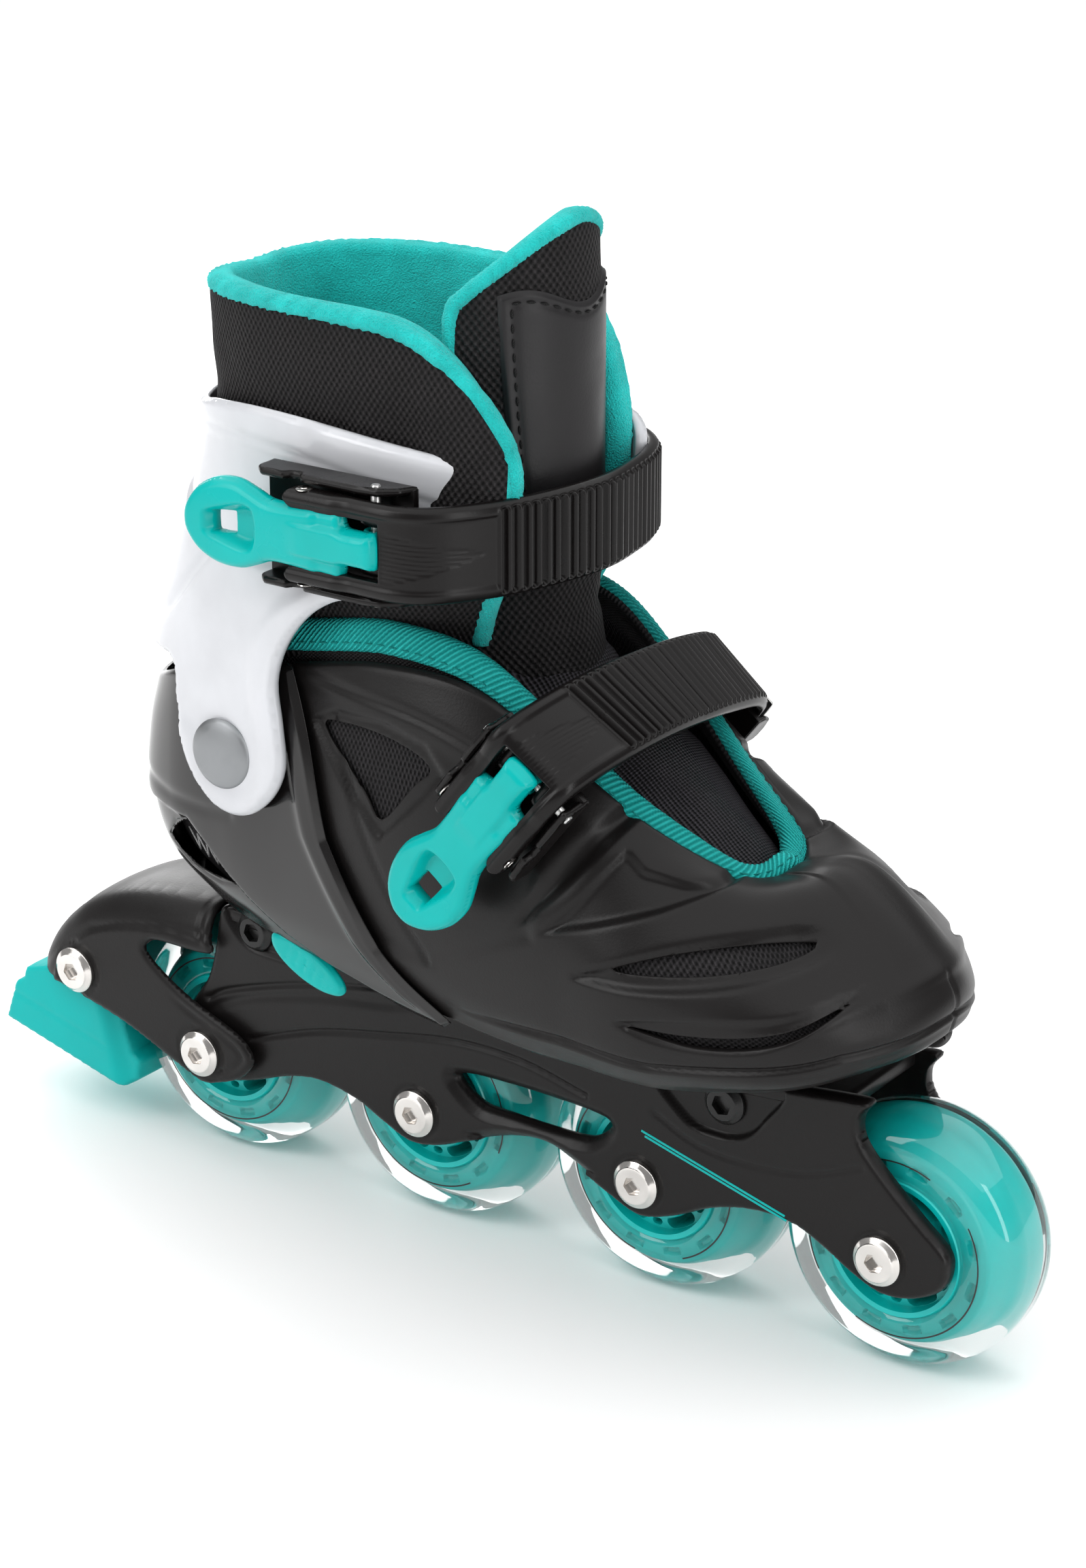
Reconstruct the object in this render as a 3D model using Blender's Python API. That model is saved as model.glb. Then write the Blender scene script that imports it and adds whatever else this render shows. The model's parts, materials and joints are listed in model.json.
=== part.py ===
"""Adjustable inline skate, right foot, with heel brake.

Lengths below are in millimetres and become metres in add(). +X points to the toe, +Y to the inner
side of the foot, +Z up. X is counted from the middle of the wheelbase until the root empty moves
the whole skate so that the middle of its bounding box stands over the origin.
"""
import math

import bmesh
import bpy
import numpy as np
from mathutils import Matrix, Vector

MM = 0.001

# Driving dimensions
CENTRE_SHIFT = (20.6, 3.9)
WHEEL_R = 32.0
WHEEL_SEGMENTS = 24
AXLE_SPACING = 67.0
AXLE_X = [(i - 1.5) * AXLE_SPACING for i in range(4)]
AXLE_R = 3.0
TYRE_HALF = 12.0
TREAD_HALF = 4.5
HUB_R = 21.0
BEARING_R = 11.0
BEARING_WIDTH = 7.0
BOLT_HEAD_R = 6.2
FRAME_HALF = 18.5
FRAME_INNER = 14.0
DECK_BOTTOM = 65.4
BRAKE_HALF = 22.5
BRAKE_INNER = 19.2
BRAKE_BOLT = (-143.0, 45.0)
FRONT_BOLT = (57.0, 59.5)
REAR_BOLT = (-85.0, 68.5)
SHELL_WALL = 2.5
HEEL_GAP = 0.9
HEEL_WALL = 2.3
LINER_GAP = 1.2
LINER_WALL = 4.0
FOOTBED_GAP = 2.8
FOOTBED_WALL = 2.2
CUFF_WALL = 2.3
CUFF_PIVOT = (-73.0, 127.0)
COLLAR_BOTTOM = 146.0
COLLAR_TOP = 236.0
COLLAR_GAP = 0.9
COLLAR_WALL = 6.5
RIVET_R = 9.0
BUTTON = (-57.5, 71.0)
GAP = 0.4
STRAP_LIFT = 9.0
HINGE_LIFT = 5.5
PIN_R = 1.2
PIN_GAP = 0.3

TEAL = (0.0, 0.50, 0.42)
BLACK = (0.012, 0.012, 0.013)
SOFT_BLACK = (0.02, 0.02, 0.022)
WHITE = (0.85, 0.86, 0.87)
CLEAR = (0.72, 0.86, 0.84)
STEEL = (0.66, 0.64, 0.62)

# Half of the foot surface: stations from the middle of the heel to the tip of the toe, each with
# five points from the upper edge, over the shoulder and the widest line, to the sole's edge.
FOOT_RIBS = [
    [(-116, 0, 133), (-118.5, 0, 122), (-119, 0, 105), (-116, 0, 91), (-110, 0, 83)],
    [(-110.5, -17, 134), (-112.5, -19, 121), (-113, -20, 104), (-110, -18, 90), (-103, -14, 80.5)],
    [(-97, -28, 140), (-98, -29.5, 124), (-98, -30, 105), (-95, -27.5, 89), (-89, -23, 79)],
    [(-79, -32, 148), (-79, -33.7, 130), (-79, -34, 107), (-77, -32, 88), (-72, -28, 77)],
    [(-58, -33.5, 151), (-58, -35.5, 135), (-58, -36.5, 110), (-56, -35, 88), (-54, -31.5, 76)],
    [(-30, -35, 156.5), (-30, -39, 138), (-30, -40.5, 110), (-28, -38.5, 86), (-27, -33.5, 72)],
    [(-5, -33.5, 155.5), (-5, -39, 138), (-3, -42.5, 108), (-2, -41, 83), (0, -36, 70)],
    [(17, -29.5, 144), (20, -37, 130), (24, -44, 103), (26, -43, 81), (27, -36.5, 69.5)],
    [(38, -23.5, 129), (44, -33.5, 119), (50, -44.5, 98), (52, -43.5, 80), (52, -36.5, 69.8)],
    [(56, -15.5, 118.5), (67, -25, 114), (83, -37, 94.5), (84, -36, 81), (82, -31, 75)],
    [(62, -7.5, 115.5), (79, -12.5, 116), (100, -19.5, 95), (101, -18.5, 84), (98, -15, 79.5)],
    [(64, 0, 116.5), (82, 0, 118.5), (106.5, 0, 98), (106.5, 0, 87), (103, 0, 81)],
]
TOE_START = 4
TOE_END = 11
STATION_STEP = 0.5
HEEL_COLUMNS = 8
SOLE_LINE = [(-118, 84), (-100, 78), (-80, 76), (-50, 73), (-20, 69), (10, 68.2), (45, 68), (65, 70),
             (85, 75), (98, 80), (110, 85)]

# Frame seen from the side: scalloped lower edge from front to rear
FRAME_LOWER = [(118, 33), (116, 28), (109, 24), (101, 23), (93, 26), (84, 31), (76, 34), (65, 34),
               (54, 31), (44, 26), (34, 23), (25, 26), (14, 31), (5, 34), (-6, 32.5), (-18, 28),
               (-28, 24), (-36, 23), (-44, 26), (-53, 30), (-65, 32), (-76, 30), (-88, 25.5),
               (-100, 23), (-108, 26)]
FRAME_REAR = [(-111, 33), (-107, 43), (-101, 52), (-98, 62), (-96, 72)]
FRAME_FRONT = [(97, 70), (93, 66), (94, 60), (100, 53), (110, 44), (117, 38)]
DECK_TOP = [(-93, 73.2), (-80, 72.2), (-62, 70.4), (-50, 69.2), (-42, 68.2), (-20, 68), (10, 67.4),
            (45, 67.1), (62, 67.2), (78, 68.6), (90, 70)]
FRAME_WINDOW = [(-21, 44), (-14, 46.5), (11, 46.5), (24, 45), (20, 40), (14, 38), (-7, 38), (-15, 38.5)]

BRAKE_UPPER = [(-160, 42), (-158, 48), (-152, 56), (-143, 63), (-132, 68), (-118, 71), (-105, 72.5),
               (-99.5, 72)]
BRAKE_LOWER = [(-98.5, 66), (-97, 60.5), (-113, 60), (-119, 56), (-104, 46), (-86, 38.5),
               (-83.5, 34), (-88, 28.5), (-94, 24.5), (-101, 23), (-109, 26), (-128, 33.5),
               (-146, 38), (-156, 40)]
PAD_OUTLINE = [(-166, 38), (-174, 21.5), (-132, 11), (-129.5, 14), (-134.5, 25), (-137, 36),
               (-137, 50), (-148, 52), (-153, 46), (-156, 41)]

# Cuff seen from the side
CUFF_OUTLINE = [(-130, 146), (-96, 146), (-92, 136), (-88, 126), (-83, 118), (-75, 112.5), (-66, 113),
                (-58, 118.5), (-54, 127), (-55.5, 138), (-57, 148), (-54.5, 157), (-49, 165),
                (-42, 171), (-34, 173.5), (-15, 176), (-3, 179.5), (1, 184), (3, 196), (1, 206),
                (-14, 209.5), (-40, 212.5), (-62, 213.5), (-80, 212), (-95, 209), (-130, 207)]
# Cuff rings: height, centre X, half length to the rear, half length to the front, half width
CUFF_RINGS = [(108, -52, 70, 60, 43.2), (127, -52, 69, 60, 42.9), (146, -50, 66, 59, 42.0),
              (165, -48, 62, 58, 40.4), (190, -45, 58, 58, 39.8), (216, -43, 55, 57, 38.5)]
# Station of the rear shell's slanted front edge at rows 0 to 4
HEEL_FRONT = [4.05, 4.3, 4.55, 5.0, 5.65]
ROWS = [0, 0.5, 1, 1.5, 2, 2.6, 3.2, 4]
LINING_ROWS = [0.15] + ROWS[1:]


def clear_scene():
    for obj in list(bpy.data.objects):
        bpy.data.objects.remove(obj, do_unlink=True)


def material(name, colour, roughness, metallic=0.0, alpha=1.0):
    mat = bpy.data.materials.get(name) or bpy.data.materials.new(name)
    mat.use_nodes = True
    shader = mat.node_tree.nodes["Principled BSDF"]
    shader.inputs["Base Color"].default_value = (*colour, 1.0)
    shader.inputs["Roughness"].default_value = roughness
    shader.inputs["Metallic"].default_value = metallic
    shader.inputs["Alpha"].default_value = alpha
    return mat


FINISH = {
    "tyre": (CLEAR, 0.1, 0.0, 0.5), "teal": (TEAL, 0.3), "black": (BLACK, 0.45), "gloss": (BLACK, 0.15),
    "white": (WHITE, 0.2), "steel": (STEEL, 0.25, 1.0), "rubber": (TEAL, 0.6),
    "foam": (SOFT_BLACK, 0.95), "grey": (STEEL, 0.4, 0.6),
}
BODIES = {}


def body_empty(name, x, y, z, parent="skate"):
    """An empty on a joint's axis, which carries the pieces that move about it."""
    empty = bpy.data.objects.new(name, None)
    bpy.context.collection.objects.link(empty)
    if parent:
        empty.parent = BODIES[parent][0]
        offset = BODIES[parent][1]
    else:
        offset = Vector((0, 0, 0))
    place = Vector((x, y, z))
    empty.location = (place - offset) * MM
    BODIES[name] = (empty, place)


def add(name, bm, finish, body="skate"):
    """Link a mesh given in millimetres as a piece of a body."""
    empty, origin = BODIES[body]
    bmesh.ops.remove_doubles(bm, verts=bm.verts, dist=0.01)
    bmesh.ops.recalc_face_normals(bm, faces=bm.faces)
    bmesh.ops.transform(bm, matrix=Matrix.Scale(MM, 4) @ Matrix.Translation(-origin), verts=bm.verts)
    mesh = bpy.data.meshes.new(name)
    bm.to_mesh(mesh)
    bm.free()
    obj = bpy.data.objects.new(name, mesh)
    bpy.context.collection.objects.link(obj)
    obj.parent = empty
    if finish:
        mesh.materials.append(material(f"{name}_finish", *FINISH[finish]))
        mesh.shade_smooth()
        mesh.set_sharp_from_angle(angle=math.radians(35))
    return obj


def boolean(obj, bm, operation="DIFFERENCE", body="skate"):
    """Cut, join or intersect a piece with a shape given in millimetres."""
    tool = add(f"{obj.name}_{operation.lower()}_{len(obj.modifiers)}", bm, None, body)
    tool.hide_render = True
    tool.display_type = "WIRE"
    step = obj.modifiers.new(operation.title(), "BOOLEAN")
    step.operation = operation
    step.object = tool
    return obj


def solidify(obj, thickness, inward=True):
    step = obj.modifiers.new("Wall", "SOLIDIFY")
    step.thickness = thickness * MM
    step.offset = -1.0 if inward else 1.0
    step.use_even_offset = True
    return obj


def bevel(obj, width, segments=1, angle=50):
    step = obj.modifiers.new("Edges", "BEVEL")
    step.width = width * MM
    step.segments = segments
    step.limit_method = "ANGLE"
    step.angle_limit = math.radians(angle)
    return obj


def extrusion(outline, low, high, place):
    """Closed prism: outline points (a, b) swept over c from low to high, put in space by place(a, b, c)."""
    bm = bmesh.new()
    rings = [[bm.verts.new(place(a, b, c)) for a, b in outline] for c in (low, high)]
    count = len(outline)
    for i in range(count):
        j = (i + 1) % count
        bm.faces.new((rings[0][i], rings[0][j], rings[1][j], rings[1][i]))
    bm.faces.new(rings[0][::-1])
    bm.faces.new(rings[1])
    return bm


def side(a, b, c):
    """Outline in the X-Z plane, swept along Y."""
    return (a, c, b)


def prism(outline, low, high):
    return extrusion(outline, low, high, side)


def ring_outline(centre, radius, segments, phase=0.0):
    return [(centre[0] + radius * math.cos(phase + 2 * math.pi * i / segments),
             centre[1] + radius * math.sin(phase + 2 * math.pi * i / segments)) for i in range(segments)]


def disc(centre, radius, low, high, segments=16):
    return prism(ring_outline(centre, radius, segments), low, high)


def turned(profile, centre, segments, place=side, phase=0.0):
    """Body of revolution: closed profile of (radius, height) points about an axis through centre."""
    bm = bmesh.new()
    rings = []
    for radius, height in profile:
        if radius == 0:
            rings.append([bm.verts.new(place(centre[0], centre[1], height))] * segments)
        else:
            rings.append([bm.verts.new(place(a, b, height))
                          for a, b in ring_outline(centre, radius, segments, phase)])
    closed = profile[0][0] > 0
    pairs = list(zip(rings, rings[1:] + rings[:1])) if closed else list(zip(rings, rings[1:]))
    for lower, upper in pairs:
        for i in range(segments):
            j = (i + 1) % segments
            corners = []
            for vert in (lower[i], lower[j], upper[j], upper[i]):
                if vert not in corners:
                    corners.append(vert)
            if len(corners) > 2:
                bm.faces.new(corners)
    return bm


def merged(*shapes):
    """Several separate cutter shapes as one mesh."""
    whole = bmesh.new()
    for bm in shapes:
        mesh = bpy.data.meshes.new("part")
        bm.to_mesh(mesh)
        bm.free()
        whole.from_mesh(mesh)
        bpy.data.meshes.remove(mesh)
    return whole


def interpolate(table, x):
    """Height of a side-view line at x."""
    xs, zs = zip(*table)
    return float(np.interp(x, xs, zs))


def spline(points, t):
    """Catmull-Rom curve through the points, t counted in points."""
    points = np.asarray(points, float)
    last = len(points) - 1
    i = int(min(max(math.floor(t), 0), last - 1))
    f = t - i
    p1, p2 = points[i], points[i + 1]
    p0 = points[i - 1] if i > 0 else 2 * p1 - p2
    p3 = points[i + 2] if i + 2 <= last else 2 * p2 - p1
    return 0.5 * (2 * p1 + (p2 - p0) * f + (2 * p0 - 5 * p1 + 4 * p2 - p3) * f * f
                  + (3 * p1 - p0 - 3 * p2 + p3) * f ** 3)


def foot_point(s, t):
    """Point on the near half of the foot surface at station s (0 heel, 11 toe) and row t (0 top, 4 sole)."""
    return spline([spline(rib, t) for rib in FOOT_RIBS], s)


def foot_normal(s, t):
    e = 0.02
    s0, s1 = max(s - e, 0), min(s + e, TOE_END)
    t0, t1 = max(t - e, 0), min(t + e, 4)
    along = foot_point(s1, t) - foot_point(s0, t)
    down = foot_point(s, t1) - foot_point(s, t0)
    if s < e or s > TOE_END - e:
        along[0] = along[2] = 0.0
    normal = np.cross(down, along)
    return normal / np.linalg.norm(normal)


def sole_lift(offset):
    """Linings sit a little higher over the sole than they stand off the walls."""
    return offset * 1.35 if offset < 0 else offset


def offset_point(s, t, offset):
    """Point moved out by offset; at the sole's edge the move is mitred between wall and sole."""
    normal = foot_normal(s, t)
    if t >= 4:
        downward = np.array((0.0, 0.0, -1.0))
        if offset:
            normal = sole_lift(offset) / offset * (normal + downward) / (1.0 + normal @ downward)
    return Vector(foot_point(s, t) + offset * normal)


def foot_sheet(count, station, rows, offset, floor_until=None):
    """Open sheet on both sides of the foot surface, moved out by offset, with a sole under it.

    station(i, t) gives the station of column i at row t. Columns after floor_until get no sole.
    """
    columns = []
    for i in range(count + 1):
        column = []
        for t in rows:
            column.append(offset_point(station(i, t), t, offset))
        bottom = column[-1]
        for share in (0.5, 0.0):
            z = interpolate(SOLE_LINE, bottom.x) - sole_lift(offset)
            column.append(Vector((bottom.x, bottom.y * share, z + (bottom.z - z) * share * 0.5)))
        columns.append(column)
    bm = bmesh.new()
    wall = len(rows)
    for mirror in (1, -1):
        grid = [[bm.verts.new((p.x, p.y * mirror, p.z)) for p in column] for column in columns]
        for i in range(count):
            high = wall + 1 if floor_until is None or i < floor_until else wall - 1
            for j in range(high):
                quad = [grid[i][j], grid[i + 1][j], grid[i + 1][j + 1], grid[i][j + 1]]
                bm.faces.new(quad if mirror == 1 else quad[::-1])
    bmesh.ops.remove_doubles(bm, verts=bm.verts, dist=0.02)
    bmesh.ops.dissolve_degenerate(bm, edges=bm.edges, dist=0.02)
    loose = [v for v in bm.verts if not v.link_faces]
    bmesh.ops.delete(bm, geom=loose, context="VERTS")
    return bm


def ring_point(angle, centre, rear, front, half, power_rear=2.5, power_front=2.5):
    """Point of a boot's plan section; angle 0 is the back, 180 the front, near side first."""
    c, s = -math.cos(angle), math.sin(angle)
    length, power = (front, power_front) if c > 0 else (rear, power_rear)
    reach = (abs(c) ** power + abs(s) ** power) ** (-1.0 / power)
    return centre + length * c * reach, -half * s * reach


def ring_table(table, z):
    heights = [row[0] for row in table]
    return [float(np.interp(z, heights, [row[k] for row in table])) for k in range(1, 5)]


def ring_sheet(table, heights, reach_angle, columns, inset=0.0):
    """Open sheet of rings about the ankle, from one front edge round the back to the other."""
    bm = bmesh.new()
    grid = []
    for k in range(columns + 1):
        share = -1.0 + 2.0 * k / columns
        line = []
        for low_high in heights:
            angle = share * math.radians(reach_angle)
            z = low_high(abs(share))
            centre, rear, front, half = ring_table(table, z)
            x, y = ring_point(abs(angle), centre, rear - inset, front - inset, half - inset)
            line.append(bm.verts.new((x, y if share < 0 else -y, z)))
        grid.append(line)
    for k in range(columns):
        for j in range(len(heights) - 1):
            bm.faces.new((grid[k][j], grid[k + 1][j], grid[k + 1][j + 1], grid[k][j + 1]))
    return bm


# ---------------------------------------------------------------- wheels

def wheels():
    facet = math.pi / WHEEL_SEGMENTS
    rim = WHEEL_R / math.cos(facet)
    tyre = [(HUB_R + GAP, -7.5), (HUB_R + 2, -10.5), (25, -TYRE_HALF), (rim - 2.8, -9.5), (rim, -TREAD_HALF),
            (rim, TREAD_HALF), (rim - 2.8, 9.5), (25, TYRE_HALF), (HUB_R + 2, 10.5), (HUB_R + GAP, 7.5)]
    bore = BEARING_R + 0.3
    hub = [(bore, -12), (14.5, -12), (HUB_R, -7.5), (HUB_R, 7.5), (14.5, 12), (bore, 12),
           (bore, 4.5), (9, 4.2), (9, -4.2), (bore, -4.5)]
    for n, x in enumerate(AXLE_X, 1):
        body = f"wheel_{n}_spin"
        body_empty(body, x, 0, WHEEL_R)
        centre = (x, WHEEL_R)
        add(f"wheel_{n}_tyre", turned(tyre, centre, WHEEL_SEGMENTS, phase=facet), "tyre", body)
        add(f"wheel_{n}_hub", turned(hub, centre, 20), "teal", body)
        for label, low in (("outer", -4.9 - BEARING_WIDTH), ("inner", 4.9)):
            profile = [(AXLE_R + 1.0, low), (BEARING_R, low), (BEARING_R, low + BEARING_WIDTH),
                       (AXLE_R + 1.0, low + BEARING_WIDTH)]
            add(f"wheel_{n}_{label}_bearing", turned(profile, centre, 14), "steel", body)
        face = BRAKE_HALF if n == 1 else FRAME_HALF
        head = [(0, -face - 2.4), (BOLT_HEAD_R - 1.2, -face - 2.4), (BOLT_HEAD_R, -face - 1.4),
                (BOLT_HEAD_R, -face - GAP), (AXLE_R, -face - GAP), (AXLE_R, face + 2.2), (0, face + 2.2)]
        add(f"wheel_{n}_axle", turned(head, centre, 12), "steel")
        nut = [(AXLE_R + GAP, face + GAP), (BOLT_HEAD_R, face + GAP), (BOLT_HEAD_R, face + 2.4),
               (AXLE_R + GAP, face + 2.4)]
        add(f"wheel_{n}_axle_nut", turned(nut, centre, 12), "steel")


# ---------------------------------------------------------------- frame and brake

def frame():
    outline = FRAME_LOWER + FRAME_REAR + DECK_TOP + FRAME_FRONT
    obj = add("frame", prism(outline, -FRAME_HALF, FRAME_HALF), "black")
    bevel(obj, 1.0)
    cavity = [(-130, 0), (130, 0), (130, DECK_BOTTOM), (-130, DECK_BOTTOM)]
    boolean(obj, prism(cavity, -FRAME_INNER, FRAME_INNER))
    holes = [disc((x, WHEEL_R), AXLE_R + GAP, -30, 30, 12) for x in AXLE_X]
    holes += [disc(spot, 2.5 + GAP, -30, 30, 12) for spot in (FRONT_BOLT, REAR_BOLT)]
    boolean(obj, merged(*holes))
    boolean(obj, prism(FRAME_WINDOW, -30, 30))
    for label, spot in (("front", FRONT_BOLT), ("rear", REAR_BOLT)):
        profile = [(0, -FRAME_HALF - 2), (4.6, -FRAME_HALF - 2), (5.2, -FRAME_HALF - 1.4),
                   (5.2, -FRAME_HALF - GAP), (2.5, -FRAME_HALF - GAP), (2.5, FRAME_HALF + 1.5),
                   (0, FRAME_HALF + 1.5)]
        add(f"{label}_mount_bolt", turned(profile, spot, 12), "black")


def brake():
    arm = add("brake_arm", prism(BRAKE_UPPER + BRAKE_LOWER, -BRAKE_HALF, BRAKE_HALF), "black")
    bevel(arm, 2.0, 2)
    inner = [(-175, 0), (-70, 0), (-70, 80), (-97.5, 80), (-97.5, 69.2), (-118, 67.6), (-131, 64.8),
             (-141, 60.2), (-149.5, 53.8), (-155.2, 46.5), (-158, 41), (-175, 41)]
    boolean(arm, prism(inner, -BRAKE_INNER, BRAKE_INNER))
    boolean(arm, merged(disc((AXLE_X[0], WHEEL_R), AXLE_R + GAP, -30, 30, 12),
                        disc(BRAKE_BOLT, AXLE_R + GAP, -30, 30, 12)))
    pad = add("brake_pad", prism(PAD_OUTLINE, -BRAKE_INNER + GAP, BRAKE_INNER - GAP), "rubber")
    bevel(pad, 0.8)
    boolean(pad, disc(BRAKE_BOLT, AXLE_R + GAP, -30, 30, 12))
    face = BRAKE_HALF
    bolt = [(0, -face - 2.4), (BOLT_HEAD_R - 1.2, -face - 2.4), (BOLT_HEAD_R, -face - 1.4),
            (BOLT_HEAD_R, -face - GAP), (AXLE_R, -face - GAP), (AXLE_R, face + 1.6), (0, face + 1.6)]
    add("brake_bolt", turned(bolt, BRAKE_BOLT, 12), "steel")


# ---------------------------------------------------------------- boot shells

def even_stations(start):
    """Columns half a station apart, so that nested sheets have matching facets."""
    return lambda i, t: start + i * STATION_STEP


def slanted_stations(i, t):
    """Even columns round the heel, then two up to the rear shell's slanted front edge."""
    if i <= HEEL_COLUMNS:
        return i * STATION_STEP
    edge = float(np.interp(t, range(5), HEEL_FRONT))
    return TOE_START + (edge - TOE_START) * (i - HEEL_COLUMNS) / 2


def toe_shell():
    body_empty("toe_slide", -58, 0, 68)
    sheet = foot_sheet(14, even_stations(TOE_START), ROWS, 0.0)
    obj = add("toe_shell", sheet, "black", "toe_slide")
    solidify(obj, SHELL_WALL)
    window = [(-46, 139), (-28, 140.5), (-13, 136), (-27, 119)]
    vent = [(42, 100), (52, 105.5), (67, 109.5), (80, 112), (88, 111.5), (80, 107), (61, 102)]
    lower_slot = [(47, 86.5), (61, 86), (75, 87), (84, 91), (92, 97), (80, 93.5), (61, 89.5)]
    boolean(obj, merged(prism(window, -60, 60), prism(vent, -60, 60)), body="toe_slide")
    boolean(obj, prism(lower_slot, -60, 60), body="toe_slide")
    return obj


def toe_lining():
    sheet = foot_sheet(12, even_stations(5), LINING_ROWS, -(SHELL_WALL + LINER_GAP))
    obj = add("toe_lining", sheet, "foam", "toe_slide")
    solidify(obj, LINER_WALL)


def rear_shell():
    sheet = foot_sheet(HEEL_COLUMNS + 2, slanted_stations, ROWS, HEEL_GAP, floor_until=HEEL_COLUMNS)
    obj = add("rear_shell", sheet, "gloss")
    solidify(obj, HEEL_WALL, inward=False)
    window = [(-104, 93), (-98, 99.5), (-91, 102.5), (-83, 98), (-74, 90), (-84, 88.5), (-96, 89)]
    boolean(obj, prism(window, -60, 60))
    boolean(obj, disc(CUFF_PIVOT, 3.0 + GAP, -60, 60, 12))
    x, z = BUTTON
    housing = prism([(x - 15, z - 5.5), (x + 15, z - 5.5), (x + 14, z), (x - 16, z + 3.2)], -26, -19.3)
    boolean(obj, housing, "UNION")
    boolean(obj, disc((x, z), 3.6, -27, -21.2, 12))
    boolean(obj, prism(button_outline(0.7), -45, -26.2))
    return obj


def button_outline(margin):
    """Slanted oval of the push button, widened by a margin."""
    x, z = BUTTON
    tilt = math.radians(-24)
    long, short = 12.5 + margin, 4.6 + margin
    return [(x + long * math.cos(a) * math.cos(tilt) - short * math.sin(a) * math.sin(tilt),
             z + long * math.cos(a) * math.sin(tilt) + short * math.sin(a) * math.cos(tilt))
            for a in (2 * math.pi * i / 20 for i in range(20))]


def size_button():
    x, z = BUTTON
    body_empty("button_press", x, -28, z)
    obj = add("size_button", prism(button_outline(0), -31.5, -29.4), "teal", "button_press")
    bevel(obj, 0.6)
    boolean(obj, disc((x, z), 1.6, -29.9, -24.8, 10), "UNION", "button_press")
    curve = bpy.data.curves.new("button_spring", "CURVE")
    curve.dimensions = "3D"
    curve.bevel_depth = 0.3 * MM
    curve.bevel_resolution = 0
    curve.use_fill_caps = True
    line = curve.splines.new("POLY")
    turns, steps = 2.5, 24
    line.points.add(steps)
    for i, point in enumerate(line.points):
        a = 2 * math.pi * turns * i / steps
        place = Vector((x + 2.5 * math.cos(a), -21.8 - 1.9 * i / steps, z + 2.5 * math.sin(a)))
        point.co = (*(place * MM), 1.0)
    spring = bpy.data.objects.new("button_spring", curve)
    bpy.context.collection.objects.link(spring)
    spring.parent = BODIES["skate"][0]
    curve.materials.append(material("button_spring_finish", *FINISH["steel"]))


def heel_lining():
    sheet = foot_sheet(8, even_stations(0), LINING_ROWS, -(SHELL_WALL + LINER_GAP))
    obj = add("heel_lining", sheet, "foam")
    solidify(obj, LINER_WALL)


def footbed():
    """Insole over the lining's floor, from the heel to the ball of the foot."""
    lift = -sole_lift(-(SHELL_WALL + LINER_GAP)) + LINER_WALL + FOOTBED_GAP
    outline = [(-99, 0), (-96, 9), (-88, 15), (-74, 19), (-50, 21), (-20, 22.5), (10, 25), (35, 26.5),
               (48, 24), (54, 15), (56, 0)]
    bm = bmesh.new()
    levels = []
    for rise in (0.0, FOOTBED_WALL):
        ring = [(x, y) for x, y in outline] + [(x, -y) for x, y in outline[-2:0:-1]]
        levels.append([bm.verts.new((x, y, interpolate(SOLE_LINE, x) + lift + rise)) for x, y in ring])
    count = len(levels[0])
    for i in range(count):
        j = (i + 1) % count
        bm.faces.new((levels[0][i], levels[0][j], levels[1][j], levels[1][i]))
    half = len(outline)
    for level in levels:
        for i in range(1, half - 1):
            left, right = level[i], level[count - i]
            after_left = level[i + 1]
            after_right = level[count - i - 1] if i + 1 < half - 1 else level[half - 1]
            quad = [left, after_left, after_right, right]
            bm.faces.new(list(dict.fromkeys(quad)))
        bm.faces.new((level[0], level[1], level[count - 1]))
    add("footbed", bm, "foam")


# ---------------------------------------------------------------- cuff, collar and tongue

def level(height):
    return lambda share: height


def cuff():
    body_empty("cuff_pivot", CUFF_PIVOT[0], 0, CUFF_PIVOT[1])
    heights = [level(row[0]) for row in CUFF_RINGS]
    obj = add("cuff", ring_sheet(CUFF_RINGS, heights, 150, 36), "white", "cuff_pivot")
    solidify(obj, CUFF_WALL)
    boolean(obj, prism(CUFF_OUTLINE, -80, 80), "INTERSECT", "cuff_pivot")
    boolean(obj, disc(CUFF_PIVOT, 3.0 + GAP, -60, 60, 12), body="cuff_pivot")
    seat = 41.6
    for label, sign in (("outer", -1), ("inner", 1)):
        low, high = sorted((sign * seat, sign * 60))
        boolean(obj, disc(CUFF_PIVOT, RIVET_R + GAP, low, high, 20), body="cuff_pivot")
        face = seat + 0.3
        profile = [(0, 33.2), (3.0, 33.2), (3.0, face), (RIVET_R, face), (RIVET_R - 0.8, face + 1),
                   (5, face + 2), (0, face + 2.4)]
        profile = [(r, sign * h) for r, h in profile]
        add(f"cuff_rivet_{label}", turned(profile, CUFF_PIVOT, 16), "grey", "cuff_pivot")


def collar():
    """Padded ankle collar inside the cuff, open at the front."""
    def height(part):
        def at_share(share):
            bottom = COLLAR_BOTTOM + 38 * share ** 1.5
            top = COLLAR_TOP + 2.5 * math.sin(math.pi * share) - 23 * max(share - 0.82, 0) / 0.18
            return bottom + part * (top - bottom)
        return at_share
    heights = [height(part) for part in (0, 0.33, 0.66, 1)]
    obj = add("collar", ring_sheet(CUFF_RINGS, heights, 138, 28, CUFF_WALL + COLLAR_GAP), "foam",
              "cuff_pivot")
    solidify(obj, COLLAR_WALL)


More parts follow.
